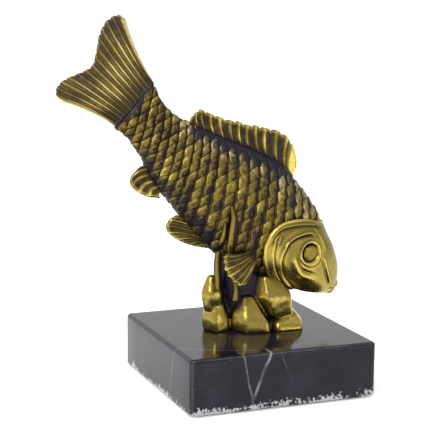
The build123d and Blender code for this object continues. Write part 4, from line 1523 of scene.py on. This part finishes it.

# %% [markdown]
# ## The felt pad
#
# The pad is a sheet, so it is modelled as a fine grid. Its corners are
# rounded by drawing the points of each corner square in towards a quarter circle.

# %% Cut the felt
felt_low, felt_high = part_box("felt_pad")
felt_side = felt_high[0] - felt_low[0]
felt_corner = 4.0 * MM
felt_cells = 80
inner = felt_side / 2 - felt_corner
work = bmesh.new()
bmesh.ops.create_grid(work, x_segments=felt_cells, y_segments=felt_cells, size=felt_side / 2)
for point in work.verts:
    x = abs(point.co.x) - inner
    y = abs(point.co.y) - inner
    if x > 0 and y > 0:
        shrink = max(x, y) / math.hypot(x, y)
        point.co.x = math.copysign(inner + x * shrink, point.co.x)
        point.co.y = math.copysign(inner + y * shrink, point.co.y)
    point.co.z = felt_high[2]
grown = bmesh.ops.extrude_face_region(work, geom=work.faces[:])
for item in grown["geom"]:
    if isinstance(item, bmesh.types.BMVert):
        item.co.z = felt_low[2]
bmesh.ops.recalc_face_normals(work, faces=work.faces)
felt_piece = object_from("felt_sheet", work)
keep(felt_piece, felt, "felt", "felt_pad")

# %% [markdown]
# ## Stage and light
#
# The ornament stands on a pale floor in a white studio. Polished metal shows whatever surrounds
# it, so the surround is a little darker behind the camera, which gives the brass its depth. One
# soft lamp stands high on the left, and a weak one low on the right.

# %% Set the stage and the light
floor_corners = [(-3, -3, 0), (3, -3, 0), (3, 3, 0), (-3, 3, 0)]
floor = new_object("floor", floor_corners, [(0, 1, 2, 3)], False)
floor_look, tree, shader = new_material("pale_floor")
path = add(tree, "ShaderNodeLightPath").outputs
seen = calc(tree, "MAXIMUM", path["Is Camera Ray"], path["Is Glossy Ray"])
seen = calc(tree, "MAXIMUM", seen, path["Is Transmission Ray"])
fill(tree, shader, {
    "Base Color": (0.80, 0.80, 0.80, 1), "Roughness": 0.9, "Emission Color": (1, 1, 1, 1),
    "Emission Strength": calc(tree, "MULTIPLY", seen, 0.42),
})
floor.data.materials.append(floor_look)

world = bpy.data.worlds.new("studio")
bpy.context.scene.world = world
world.use_nodes = True
tree = world.node_tree
around_us = add(tree, "ShaderNodeTexCoord").outputs["Generated"]
facing = add(tree, "ShaderNodeSeparateXYZ", {0: around_us}).outputs
ahead = smooth_between(tree, facing["Y"], -0.7, 0.3, 0.62, 1.0)
overhead_glow = smooth_between(tree, facing["Z"], 0.55, 0.95, 0.0, 0.6)
surround = calc(tree, "MINIMUM", calc(tree, "ADD", ahead, overhead_glow), 1.0)
camera_ray = add(tree, "ShaderNodeLightPath").outputs["Is Camera Ray"]
strength = calc(tree, "MAXIMUM", surround, camera_ray)
fill(tree, tree.nodes["Background"], {"Strength": strength, "Color": (1, 1, 1, 1)})
bpy.context.scene.view_settings.view_transform = "Standard"

lamp_target = Vector((0, 0, 0.1))
lamps = (("key", 6.5, 0.5, (-0.6, -0.5, 0.8)), ("fill", 0.8, 0.35, (0.45, -0.75, 0.06)))
for name, watts, size, spot in lamps:
    lamp = bpy.data.lights.new(name, "AREA")
    lamp.energy = watts
    lamp.size = size
    stand = put(name, lamp)
    stand.location = spot
    stand.rotation_euler = (lamp_target - stand.location).to_track_quat("-Z", "Y").to_euler()
